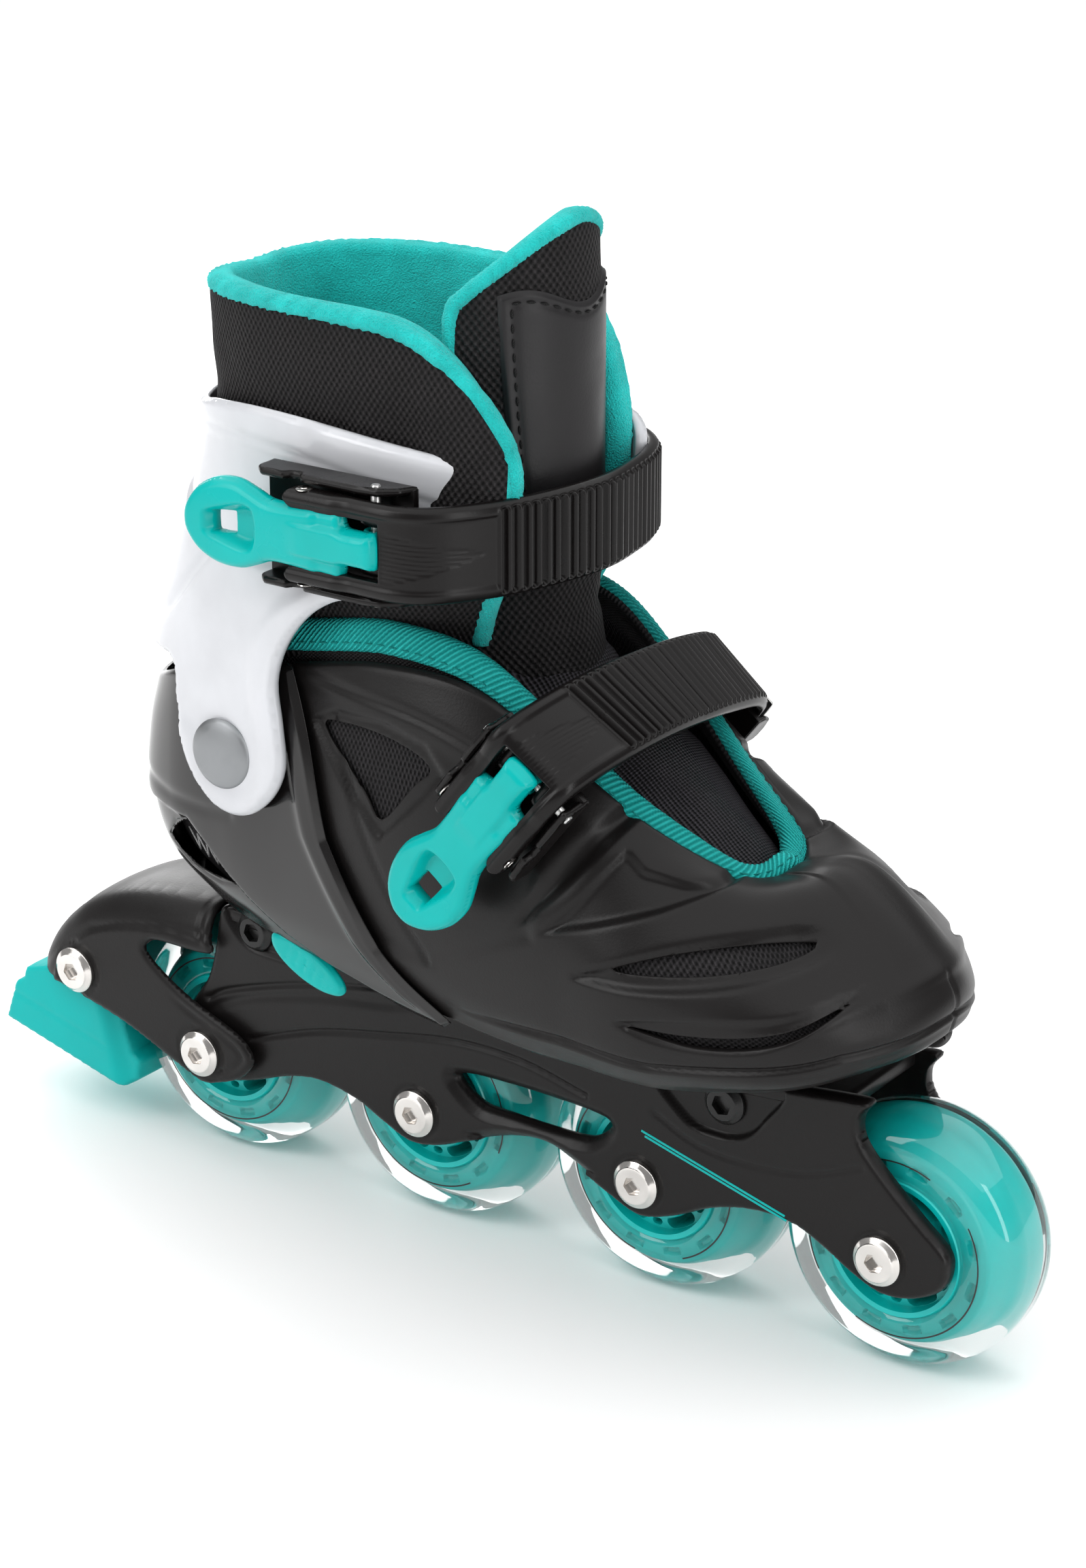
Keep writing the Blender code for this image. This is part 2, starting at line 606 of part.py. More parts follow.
def tongue():
    """Upper tongue on the cuff, lower tongue with the toe shell."""
    bm = bmesh.new()
    columns, heights = 12, [0, 0.25, 0.5, 0.75, 1]
    grid = []
    for k in range(columns + 1):
        share = -1 + 2 * k / columns
        angle = share * math.radians(70)
        top = 261 - 20 * abs(share) ** 1.6
        line = []
        for f in heights:
            z = 174 + f * (top - 174)
            line.append(bm.verts.new((-26 + 29.5 * math.cos(angle), 25 * math.sin(angle), z)))
        grid.append(line)
    for k in range(columns):
        for j in range(len(heights) - 1):
            bm.faces.new((grid[k][j], grid[k + 1][j], grid[k + 1][j + 1], grid[k][j + 1]))
    solidify(add("tongue_upper", bm, "foam", "cuff_pivot"), 6.0)
    path = [(14, 147), (28, 136), (42, 124), (53, 115), (60, 110)]
    bm = bmesh.new()
    grid = []
    for i, (x, z) in enumerate(path):
        half = 19 - 3.2 * i
        grid.append([bm.verts.new((x - 3 * abs(v), half * v, z - 5 * v * v)) for v in (-1, -0.5, 0, 0.5, 1)])
    for i in range(len(path) - 1):
        for j in range(4):
            bm.faces.new((grid[i][j], grid[i][j + 1], grid[i + 1][j + 1], grid[i + 1][j]))
    solidify(add("tongue_lower", bm, "foam", "toe_slide"), 4.0)


# ---------------------------------------------------------------- buckles

class Buckle:
    """One ratchet buckle in its own frame: u along the strap, v outward from the middle plane, w across."""

    def __init__(self, prefix, body, origin, direction, base_face, base_range, path, far_face, far_range,
                 cone):
        self.prefix, self.body, self.origin = prefix, body, Vector((origin[0], 0, origin[1]))
        self.along = Vector((direction[0], 0, direction[1])).normalized()
        self.across = Vector((-self.along.z, 0, self.along.x))
        self.base_face, self.far_face, self.base_range = base_face, far_face, base_range
        self.path, self.far_range, self.cone = path, far_range, cone
        self.hinge = base_face + HINGE_LIFT
        self.strap_line = base_face + STRAP_LIFT

    def at(self, u, v, w):
        return self.origin + self.along * u + self.across * w + Vector((0, -v, 0))

    def pin(self, u, v, radius, half, segments=10):
        return extrusion(ring_outline((u, v), radius, segments), -half, half, self.at)

    def box(self, u0, u1, v0, v1, w0, w1):
        outline = [(u0, v0), (u1, v0), (u1, v1), (u0, v1)]
        return extrusion(outline, w0, w1, self.at)

    def channel(self, face, inner, outer, height, floor, u0, u1, sign=1):
        top = face + height
        outline = [(-outer, face), (outer, face), (outer, top), (inner, top), (inner, face + floor),
                   (-inner, face + floor), (-inner, top), (-outer, top)]
        return extrusion(outline, u0, u1, lambda a, b, c: self.at(c, sign * b, a))

    def base(self):
        bm = self.channel(self.base_face, 12.2, 14.2, 8, 2, *self.base_range)
        obj = add(f"{self.prefix}_buckle_base", bm, "black", self.body)
        boolean(obj, self.pin(0, self.hinge, PIN_R + PIN_GAP, 20), body=self.body)
        boolean(obj, self.rivet_hole(), body=self.body)
        add(f"{self.prefix}_hinge_pin", self.pin(0, self.hinge, PIN_R, 14.6), "steel", self.body)
        return obj

    def rivet_hole(self, radius=2.2, low=20.0, high=70.0):
        outline = ring_outline((-17, 0), radius, 10)
        return extrusion(outline, low, high, lambda a, b, c: self.at(a, c, b))

    def rivet(self, inside):
        shank = self.rivet_hole(1.8, inside, self.base_face + 3.2)
        obj = add(f"{self.prefix}_base_rivet", shank, "steel", self.body)
        head = extrusion(ring_outline((-17, 0), 3.4, 10), self.base_face + 2.3, self.base_face + 3.5,
                         lambda a, b, c: self.at(a, c, b))
        boolean(obj, head, "UNION", self.body)

    def lever(self):
        name = f"{self.prefix}_lever"
        low, high = self.base_face + 7.2, self.base_face + 12.4
        side = [(3.2, 3.8), (-5, 3.8), (-6.5, 6.6), (-28, 6.6), (-33, 9), (-37, 10.6), (-44, 10.2),
                (-50, 6)]
        outline = side + [(-51.5, 0)] + [(u, -w) for u, w in side[::-1]]
        body = f"{self.prefix}_lever_hinge"
        pivot = self.at(0, self.hinge, 0)
        body_empty(body, pivot.x, pivot.y, pivot.z, self.body)
        bm = extrusion(outline, low, high, lambda a, b, c: self.at(a, c, b))
        obj = add(name, bm, "teal", body)
        bevel(obj, 0.8)
        boolean(obj, self.pin(0, self.hinge, 3.1, 3.8, 14), "UNION", body)
        boolean(obj, self.pin(0, self.hinge, PIN_R + PIN_GAP, 10), body=body)
        boolean(obj, self.box(-20.4, -15.2, low - 1, self.strap_line + 1.7, -12, 12), body=body)
        hole = extrusion([(-44.5, -3.4), (-37, -3.4), (-37, 3.4), (-44.5, 3.4)], low - 5, high + 5,
                         lambda a, b, c: self.at(a, c, b))
        boolean(obj, hole, body=body)

    def strap(self):
        body = f"{self.prefix}_strap_slide"
        start = self.at(-18, self.strap_line, 0)
        body_empty(body, start.x, start.y, start.z, self.body)
        bm = bmesh.new()
        sections = []
        steps = 30
        for i in range(steps + 1):
            t = (len(self.path) - 1) * i / steps
            u, v = spline(self.path, t)
            ahead = spline(self.path, min(t + 0.05, len(self.path) - 1))
            du, dv = ahead - spline(self.path, max(t - 0.05, 0))
            length = math.hypot(du, dv)
            out_u, out_v = -dv / length, du / length
            turned_in = min(1.0, max(0.0, (u + 2) / 14)) if self.cone else 0.0
            half = 11.2
            thick = 1.3 + 0.9 * min(1.0, max(0.0, (-4 - u) / 6)) * (v > 0)
            ring = []
            for w, off in ((-half, -thick), (half, -thick), (half, thick), (-half, thick)):
                scale = 1.0 + self.cone * turned_in * w
                ring.append(bm.verts.new(self.at(u + out_u * off, (v + out_v * off) * scale, w)))
            sections.append(ring)
        for first, second in zip(sections, sections[1:]):
            for a in range(4):
                b = (a + 1) % 4
                bm.faces.new((first[a], first[b], second[b], second[a]))
        bm.faces.new(sections[0][::-1])
        bm.faces.new(sections[-1])
        obj = add(f"{self.prefix}_strap", bm, "black", body)
        boolean(obj, self.box(-30, 4.2, self.base_face + 6, self.base_face + 14, -7.3, 7.3), body=body)
        boolean(obj, self.pin(-18, self.strap_line, PIN_R + PIN_GAP, 20), body=body)
        add(f"{self.prefix}_strap_pin", self.pin(-18, self.strap_line, PIN_R, 11.7), "steel", body)

    def receiver(self):
        rear, front = self.far_range
        face = self.far_face
        bm = self.channel(face, 11.8, 13.4, 7.4, 1.6, rear, front, sign=-1)
        add(f"{self.prefix}_receiver", bm, "black", self.body)
        body = f"{self.prefix}_pawl_hinge"
        pivot = self.at(rear + 2.5, -(face + 6.6), 0)
        body_empty(body, pivot.x, pivot.y, pivot.z, self.body)
        outline = [(rear + 1.6, face + 5.9), (rear + 3, face + 5.4), (rear + 9, face + 5.4),
                   (rear + 12, face + 6.4), (rear + 10, face + 7.8), (rear + 1.6, face + 7.8)]
        bm = extrusion(outline, -11.3, 11.3, lambda a, b, c: self.at(a, -b, c))
        add(f"{self.prefix}_pawl", bm, "steel", body)


# Middle line of each strap, in the buckle's own (u, v)
UPPER_PATH = [(-22.5, 49.9), (-9, 49.9), (8, 49.7), (17, 44.5), (25, 31), (30, 15), (32, 0),
              (30.3, -13), (27.7, -23.5), (23.2, -32.5), (16.2, -39.2), (10, -42.2), (4, -43), (-7, -43)]
LOWER_PATH = [(-22.5, 51.6), (-10, 51.6), (3, 51.4), (7.8, 46), (10.8, 36), (12.3, 24), (12.3, 12), (11, 0),
              (9, -13), (5.8, -26), (2.2, -36), (-2.4, -42), (-8, -43.1), (-16, -43.1)]


def buckles():
    upper = Buckle("upper", "cuff_pivot", (-21, 190), (1, 0), 40.9, (-34, 8), UPPER_PATH, 39.4,
                   (-6, 4.5), 0.0)
    lower = Buckle("lower", "toe_slide", (22.2, 144.4), (0.62, 0.785), 42.6, (-24, 4), LOWER_PATH, 39.4,
                   (-15, -5), 0.006)
    for buckle, inside in ((upper, 38.9), (lower, 40.6)):
        buckle.base()
        buckle.rivet(inside)
        buckle.lever()
        buckle.strap()
        buckle.receiver()
    return upper, lower


def build():
    clear_scene()
    body_empty("skate", 0, 0, 0, None)
    wheels()
    frame()
    brake()
    toe = toe_shell()
    toe_lining()
    rear_shell()
    size_button()
    heel_lining()
    footbed()
    cuff()
    collar()
    tongue()
    upper, lower = buckles()
    boolean(bpy.data.objects["cuff"], upper.rivet_hole(), body="cuff_pivot")
    boolean(toe, lower.rivet_hole(), body="toe_slide")
    BODIES["skate"][0].location = (CENTRE_SHIFT[0] * MM, CENTRE_SHIFT[1] * MM, 0)


build()
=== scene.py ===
"""Looks of the inline skate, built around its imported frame.

Shapes are worked out in millimetres of the skate's own axes: X counts from the middle of the
wheelbase towards the toe, Y from the middle plane towards the inner side of the foot, and Z up
from the ground. make() turns them into metres of the frame.
"""
import json
import math

import bmesh
import bpy
import numpy as np
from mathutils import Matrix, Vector


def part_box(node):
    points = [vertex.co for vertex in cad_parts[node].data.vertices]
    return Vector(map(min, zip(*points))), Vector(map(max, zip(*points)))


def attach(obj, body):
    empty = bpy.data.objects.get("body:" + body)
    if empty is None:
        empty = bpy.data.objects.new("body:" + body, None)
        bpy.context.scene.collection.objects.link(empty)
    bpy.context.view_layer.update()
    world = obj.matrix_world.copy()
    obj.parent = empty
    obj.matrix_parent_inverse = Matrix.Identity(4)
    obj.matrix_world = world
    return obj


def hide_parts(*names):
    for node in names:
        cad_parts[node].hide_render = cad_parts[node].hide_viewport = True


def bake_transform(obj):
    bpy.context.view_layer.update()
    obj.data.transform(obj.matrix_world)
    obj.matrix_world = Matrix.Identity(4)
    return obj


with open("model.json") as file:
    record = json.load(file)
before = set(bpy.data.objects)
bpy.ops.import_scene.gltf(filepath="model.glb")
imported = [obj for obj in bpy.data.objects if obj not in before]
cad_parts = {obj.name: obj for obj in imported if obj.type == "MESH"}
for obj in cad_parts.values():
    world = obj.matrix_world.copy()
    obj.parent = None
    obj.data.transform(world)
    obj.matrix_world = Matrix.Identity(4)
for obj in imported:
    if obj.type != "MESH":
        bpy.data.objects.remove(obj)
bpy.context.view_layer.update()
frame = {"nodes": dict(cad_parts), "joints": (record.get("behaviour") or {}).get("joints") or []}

MM = 0.001
TURN = 2 * math.pi

# ---------------------------------------------------------------- places taken from the frame


def box_of(node):
    """Middle and half size of a CAD node, in millimetres of the frame."""
    low, high = (np.array(corner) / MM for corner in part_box(node))
    return (low + high) / 2, (high - low) / 2


TYRES = [box_of(f"wheel_{n}_tyre") for n in (1, 2, 3, 4)]
ORIGIN = np.array((sum(middle[0] for middle, half in TYRES) / 4, box_of("frame")[0][1], 0.0))
AXLE_X = [middle[0] - ORIGIN[0] for middle, half in TYRES]
AXLE_Z = TYRES[0][0][2]
FRAME_HALF = box_of("frame")[1][1]
BRAKE_HALF = box_of("brake_arm")[1][1]
PAD_HALF = box_of("brake_pad")[1][1]


def middle_of(node):
    """Middle of a CAD node in the skate's own axes."""
    return box_of(node)[0] - ORIGIN


def joint(name):
    return next(j for j in frame["joints"] if j["name"] == name)


def pivot_of(name):
    return np.array(joint(name)["pos_m"]) / MM - ORIGIN


def metres(points):
    """Points of the skate's own axes in metres of the frame."""
    return (np.asarray(points, float) + ORIGIN) * MM


# ---------------------------------------------------------------- curves and distances

def smoothstep(x, low, high):
    t = np.clip((x - low) / (high - low), 0, 1)
    return t * t * (3 - 2 * t)


def smooth(points, steps=5, closed=False):
    """Catmull-Rom curve through the points."""
    points = np.asarray(points, float)
    if closed:
        line = np.vstack([points[-1:], points, points[:2]])
    else:
        line = np.vstack([2 * points[0] - points[1], points, 2 * points[-1] - points[-2]])
    f = np.arange(steps)[:, None] / steps
    pieces = []
    for k in range(len(line) - 3):
        a, b, c, d = line[k:k + 4]
        pieces.append(0.5 * (2 * b + (c - a) * f + (2 * a - 5 * b + 4 * c - d) * f ** 2
                             + (3 * b - a - 3 * c + d) * f ** 3))
    if not closed:
        pieces.append(points[-1:])
    return np.vstack(pieces)


def run_of(path):
    """Length of a path up to each of its points."""
    return np.concatenate([[0], np.cumsum(np.linalg.norm(np.diff(path, axis=0), axis=1))])


def read_off(where, steps, values):
    """Values along a path, read off at other places on it."""
    return np.column_stack([np.interp(where, steps, column) for column in values.T])


def mirrored(outline):
    """Closed outline from the half with positive second coordinate."""
    return np.array(outline + [(a, -b) for a, b in outline[::-1] if b > 0], float)


def away(points, line, closed=False):
    """Distance of each point from a line in the same plane."""
    line = np.asarray(line, float)
    ends = np.roll(line, -1, 0) if closed else line[1:]
    best = np.full(len(points), 1e9)
    for p, q in zip(line, ends):
        d = q - p
        t = np.clip(((points - p) @ d) / (d @ d + 1e-12), 0, 1)
        best = np.minimum(best, np.hypot(*(points - p - t[:, None] * d).T))
    return best


def within(points, outline, margin=9.0):
    """Distance inside a closed outline, negative outside it and never below minus the margin."""
    outline = np.asarray(outline, float)
    low, high = outline.min(0) - margin, outline.max(0) + margin
    near = ((points > low) & (points < high)).all(1)
    result = np.full(len(points), -margin)
    some = points[near]
    inside = np.zeros(len(some), bool)
    for p, q in zip(outline, np.roll(outline, -1, 0)):
        if p[1] != q[1]:
            crosses = (p[1] > some[:, 1]) != (q[1] > some[:, 1])
            slope = (q[0] - p[0]) / (q[1] - p[1])
            inside ^= crosses & (some[:, 0] < p[0] + (some[:, 1] - p[1]) * slope)
    result[near] = np.where(inside, 1.0, -1.0) * away(some, outline, True)
    return result


def inside_of(points, outline, steps=4):
    """Distance inside the smooth closed curve through an outline's points."""
    return within(points, smooth(outline, steps, True))


def rounding(distance, radius):
    """How far a rounded edge has dropped at a distance from it."""
    d = np.clip(distance, 0, radius)
    return radius - np.sqrt(radius ** 2 - (radius - d) ** 2)


def bell(distance, width):
    return np.exp(-(distance / width) ** 2)


def recess(distance, depth, slope):
    """Step down inside an outline, over a slope."""
    return -depth * smoothstep(distance, 0, slope)


def groove(points, line, depth, width, steps=5):
    """Groove along the smooth line through some points."""
    return -depth * bell(away(points, smooth(line, steps)), width)


def ripple(points, size, height, seed=0):
    """Slow unevenness of cloth: a few crossed waves."""
    rng = np.random.default_rng(seed)
    total = np.zeros(len(points))
    for _ in range(7):
        wave = rng.normal(size=3) * TURN / size
        total += np.sin(points @ wave + rng.uniform(0, TURN))
    return height * total / 3


# ---------------------------------------------------------------- meshes

class Solid:
    """Points, polygons, their finish numbers and their place on the cloth, gathered before make()."""

    def __init__(self):
        self.points, self.faces, self.finish, self.weave = [], [], [], []
        self.count = 0

    def add(self, points, faces, finish=0, weave=None):
        points = np.asarray(points, float)
        self.points.append(points)
        flat = points if weave is None else np.column_stack([weave, np.zeros(len(points))])
        self.weave.append(flat)
        self.faces += [[int(i) + self.count for i in face] for face in faces]
        self.finish += finish if isinstance(finish, list) else [finish] * len(faces)
        self.count += len(points)


MERGE_WITHIN, COLLAPSE_BELOW = 2e-6, 1e-6  # metres


def make(name, solid, materials, body=None, stands_for=(), slot=None, sharp=None):
    mesh = bpy.data.meshes.new(name)
    points = metres(np.vstack(solid.points))
    mesh.from_pydata(points.tolist(), [], solid.faces)
    for finish in materials:
        mesh.materials.append(finish)
    mesh.polygons.foreach_set("material_index", solid.finish)
    weave = mesh.attributes.new("weave", "FLOAT_VECTOR", "POINT")
    weave.data.foreach_set("vector", np.vstack(solid.weave).ravel().astype(np.float32))
    bm = bmesh.new()
    bm.from_mesh(mesh)
    bmesh.ops.remove_doubles(bm, verts=bm.verts, dist=MERGE_WITHIN)
    bmesh.ops.dissolve_degenerate(bm, edges=bm.edges, dist=COLLAPSE_BELOW)
    bmesh.ops.recalc_face_normals(bm, faces=bm.faces)
    bm.to_mesh(mesh)
    bm.free()
    mesh.shade_smooth()
    if sharp:
        mesh.set_sharp_from_angle(angle=math.radians(sharp))
    obj = bpy.data.objects.new(name, mesh)
    bpy.context.scene.collection.objects.link(obj)
    if body:
        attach(obj, body)
    if stands_for:
        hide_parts(*stands_for)
    return obj


def lattice(a, b, wrap=False):
    """Parameter pairs of a grid and its quads; with wrap the first parameter closes on itself."""
    params = np.column_stack([m.ravel() for m in np.meshgrid(a, b, indexing="ij")])
    n, m = len(a), len(b)
    i, j = np.meshgrid(np.arange(n if wrap else n - 1), np.arange(m - 1), indexing="ij")
    after = (i + 1) % n
    quads = np.stack([i * m + j, after * m + j, after * m + j + 1, i * m + j + 1], -1)
    return params, quads.reshape(-1, 4).tolist()


def cut(params, quads, keep):
    """Keep the part of a grid where keep is positive; cut polygons end exactly where it is zero."""
    inside = keep > 0
    corners = np.array(quads)
    count = inside[corners].sum(1)
    faces = corners[count == 4].tolist()
    made, extra = {}, []
    for quad in corners[(count > 0) & (count < 4)].tolist():
        polygon = []
        for a, b in zip(quad, quad[1:] + quad[:1]):
            if inside[a]:
                polygon.append(a)
            if inside[a] != inside[b]:
                key = (min(a, b), max(a, b))
                if key not in made:
                    made[key] = len(params) + len(extra)
                    share = keep[a] / (keep[a] - keep[b])
                    extra.append(params[a] + share * (params[b] - params[a]))
                polygon.append(made[key])
        if len(polygon) > 2:
            faces.append(polygon)
    params = np.vstack([params] + ([np.array(extra)] if extra else []))
    used = sorted({i for face in faces for i in face})
    index = {old: new for new, old in enumerate(used)}
    return params[used], [[index[i] for i in face] for face in faces]


def unit(vectors):
    return vectors / np.maximum(np.linalg.norm(vectors, axis=-1, keepdims=True), 1e-9)


def normals_of(points, faces):
    total = np.zeros_like(points)
    for size in {len(face) for face in faces}:
        group = np.array([face for face in faces if len(face) == size])
        corners = points[group]
        fan = np.cross(corners[:, 1:-1] - corners[:, :1], corners[:, 2:] - corners[:, :1]).sum(1)
        for k in range(size):
            np.add.at(total, group[:, k], fan)
    return unit(total)


def turned(points, faces, outward):
    """Polygons and normals of a skin, turned over where they face against the outward vectors."""
    normal = normals_of(points, faces)
    if (normal * outward).sum() < 0:
        return [face[::-1] for face in faces], -normal
    return faces, normal


def border_of(faces):
    """Edges that only one polygon uses, in that polygon's direction."""
    edges = [edge for face in faces for edge in zip(face, face[1:] + face[:1])]
    used = set(edges)
    return [(a, b) for a, b in edges if (b, a) not in used]


def walls_between(levels, place, border):
    """Quads between successive rings of point numbers along a border."""
    return [[upper[place[b]], upper[place[a]], lower[place[a]], lower[place[b]]]
            for upper, lower in zip(levels, levels[1:]) for a, b in border]


ROUND_RIM = ((0.1, 0.7), (0.5, 1.0), (0.9, 0.7))


def close(solid, outer, inner, faces, lip=0.5, finish=(0, 0, 0), weave=None):
    """Closed body between two skins with the same polygons, its cut edges rounded out by lip."""
    count = len(outer)
    normal = unit(outer - inner)
    border = border_of(faces)
    out = np.zeros_like(outer)
    for a, b in border:
        side = np.cross(outer[b] - outer[a], normal[a])
        out[a] += side
        out[b] += side
    rim = sorted({i for edge in border for i in edge})
    place = {i: k for k, i in enumerate(rim)}
    out = unit(out[rim])
    rings = [outer[rim] + (inner[rim] - outer[rim]) * share + out * lip * bulge
             for share, bulge in ROUND_RIM]
    points = np.vstack([outer, inner] + rings)
    levels = [rim] + [[2 * count + k * len(rim) + i for i in range(len(rim))]
                      for k in range(len(rings))] + [[i + count for i in rim]]
    walls = walls_between(levels, place, border)
    back = [[i + count for i in face[::-1]] for face in faces]
    marks = [finish[0]] * len(faces) + [finish[1]] * len(back) + [finish[2]] * len(walls)
    if weave is not None:
        weave = np.vstack([weave, weave] + [weave[rim]] * len(rings))
    solid.add(points, faces + back + walls, marks, weave)


def shell(solid, params, faces, surface, wall, relief, **options):
    """Moulding on a curved surface: relief lifts its outer skin and wall is its thickness."""
    base = surface(*params.T)
    faces, normal = turned(base, faces, base - base.mean(0))
    lift = relief(base, params)[:, None]
    close(solid, base + normal * lift, base - normal * wall, faces, **options)


def skins(solid, upper, lower, faces, **options):
    """Closed body between two skins whose polygons may face either way."""
    faces, _ = turned(upper, faces, upper - lower)
    close(solid, upper, lower, faces, **options)


def plate(solid, params, faces, place, outer, inner, **options):
    """Flat moulding: place(a, b, c) puts its outer and inner skins, at heights c, in space."""
    skins(solid, place(*params.T, outer), place(*params.T, inner), faces, **options)


def upright(a, b, c):
    """Side-view place: a along X, b up, c along Y."""
    return np.column_stack([a, np.broadcast_to(c, a.shape), b])


def lying(a, b, c):
    """Plan place: a along X, b along Y, c up."""
    return np.column_stack([a, b, c])


def side_view(points):
    return points[:, [0, 2]]


ABOUT_Y = ((1, 0, 0), (0, 0, 1), (0, 1, 0))
AXIS_RADIUS = 0.01  # stands for the axis itself in a lathe profile


def lathe(solid, profile, centre, segments, finish=0, axes=ABOUT_Y):
    """Body of revolution of a closed (radius, height) profile about the last of three axes."""
    side_a, side_b, up = np.array(axes, float)
    angles = np.arange(segments) * TURN / segments
    rings = [np.outer(np.cos(angles) * r, side_a) + np.outer(np.sin(angles) * r, side_b) + up * h
             for r, h in profile]
    count = len(profile)
    faces = [[k * segments + i, k * segments + (i + 1) % segments,
              (k + 1) % count * segments + (i + 1) % segments, (k + 1) % count * segments + i]
             for k in range(count) for i in range(segments)]
    solid.add(np.vstack(rings) + np.asarray(centre, float), faces, finish)


def tube(solid, path, across, out, half_across, half_out, sides=16, finish=0, power=2.0, lift=None):
    """Roll along a path, with an oval section given by its two half sizes at each point."""
    count = len(path)
    angles = np.arange(sides) * TURN / sides
    c, s = np.cos(angles), np.sin(angles)
    reach = (np.abs(c) ** power + np.abs(s) ** power) ** (-1.0 / power)
    half_across, half_out = (np.broadcast_to(h, count) for h in (half_across, half_out))
    steps = run_of(path)
    rings, weave = [], []
    for k in range(count):
        a, o = c * reach * half_across[k], s * reach * half_out[k]
        ring = path[k] + np.outer(a, across[k]) + np.outer(o, out[k])
        place = np.column_stack([np.full(sides, steps[k]), angles * half_across[k]])
        if lift is not None:
            ring = path[k] + (ring - path[k]) * (1 + lift(place) / np.hypot(a, o))[:, None]
        rings.append(ring)
        weave.append(place)
    faces = [[k * sides + i, k * sides + (i + 1) % sides, (k + 1) * sides + (i + 1) % sides,
              (k + 1) * sides + i] for k in range(count - 1) for i in range(sides)]
    faces += [list(range(sides))[::-1], [(count - 1) * sides + i for i in range(sides)]]
    solid.add(np.vstack(rings), faces, finish, np.vstack(weave))


def stitches(solid, path, out, length, gap, radius, finish):
    """Row of thread stitches along a path, each a small spindle lying on the surface."""
    steps = run_of(path)
    width = radius * np.array((0.35, 0.9, 1.0, 0.9, 0.35))
    for start in np.arange(gap, steps[-1] - length, length + gap):
        spots = np.linspace(start, start + length, len(width))
        line = read_off(spots, steps, path)
        up = unit(read_off(spots, steps, out))
        side = unit(np.cross(unit(np.gradient(line, axis=0)), up))
        tube(solid, line + up * (width * 0.6)[:, None], side, up, width, width, 6, finish)


# ---------------------------------------------------------------- materials

def node(tree, kind, values=None, **settings):
    made = tree.nodes.new("ShaderNode" + kind)
    for key, value in settings.items():
        setattr(made, key, value)
    for key, value in (values or {}).items():
        if isinstance(value, bpy.types.NodeSocket):
            tree.links.new(value, made.inputs[key])
        else:
            made.inputs[key].default_value = value
    return made


def maths(tree, operation, a, b=0.0):
    return node(tree, "Math", {0: a, 1: b}, operation=operation).outputs[0]


def blank(name, colour, roughness, sockets):
    """Material with constant values on its shader's own sockets."""
    mat = bpy.data.materials.new(name)
    mat.use_nodes = True
    shader = mat.node_tree.nodes["Principled BSDF"]
    shader.inputs["Base Color"].default_value = (*colour, 1.0)
    shader.inputs["Roughness"].default_value = roughness
    for key, value in sockets.items():
        shader.inputs[key].default_value = value
    return mat, mat.node_tree, shader


def spread(tree, source, low, high):
    """A noise value turned into a range."""
    values = {"Value": source, "From Min": 0.3, "From Max": 0.7, "To Min": low, "To Max": high}
    return node(tree, "MapRange", values).outputs[0]


def blended(tree, share, first, second):
    mix = node(tree, "Mix", {0: share}, data_type="RGBA")
    for index, colour in ((6, first), (7, second)):
        if isinstance(colour, bpy.types.NodeSocket):
            tree.links.new(colour, mix.inputs[index])
        else:
            mix.inputs[index].default_value = (*colour, 1.0)
    return mix.outputs[2]


def noise(tree, place, scale, detail):
    return node(tree, "TexNoise", {"Vector": place, "Scale": scale, "Detail": detail}).outputs[0]


def feed(tree, shader, socket, value):
    tree.links.new(value, shader.inputs[socket])


def uneven_colour(tree, share, colour, darkest):
    """Colour that wanders a little towards a darker shade of itself."""
    return blended(tree, spread(tree, share, 0.0, 1.0), tuple(c * darkest for c in colour), colour)


def bump(tree, shader, height, depth, strength=1.0):
    made = node(tree, "Bump", {"Height": height, "Distance": depth * MM, "Strength": strength})
    feed(tree, shader, "Normal", made.outputs[0])


def moulded(name, colour, roughness, grain=1400.0, depth=0.03, uneven=0.06, wear=0.25, **sockets):
    """Moulded plastic: fine grain, uneven sheen and paler worn edges."""
    mat, tree, shader = blank(name, colour, roughness, sockets)
    place = node(tree, "TexCoord").outputs["Object"]
    fine, broad = noise(tree, place, grain, 3.0), noise(tree, place, 40.0, 5.0)
    feed(tree, shader, "Roughness", spread(tree, broad, roughness - uneven, roughness + uneven))
    paler = tuple(min(1.0, c * 1.5 + 0.03) for c in colour)
    edge = node(tree, "NewGeometry").outputs["Pointiness"]
    values = {"Value": edge, "From Min": 0.53, "From Max": 0.66, "To Min": 0.0, "To Max": wear}
    worn = node(tree, "MapRange", values).outputs[0]
    shade = uneven_colour(tree, broad, colour, 0.86)
    feed(tree, shader, "Base Color", blended(tree, worn, shade, paler))
    bump(tree, shader, fine, depth)
    return mat


def metal(name, colour, roughness, grain=2600.0):
    """Plated metal with fine turning marks and faint smudges."""
    mat, tree, shader = blank(name, colour, roughness, {"Metallic": 1.0})
    place = node(tree, "TexCoord").outputs["Object"]
    stretched = node(tree, "Mapping", {"Vector": place, "Scale": (1.0, 0.15, 1.0)}).outputs[0]
    fine, smudge = noise(tree, stretched, grain, 2.0), noise(tree, place, 160.0, 4.0)
    feed(tree, shader, "Roughness", spread(tree, smudge, roughness * 0.7, roughness * 1.5))
    feed(tree, shader, "Base Color", uneven_colour(tree, smudge, colour, 0.85))
    bump(tree, shader, fine, 0.01)
    return mat


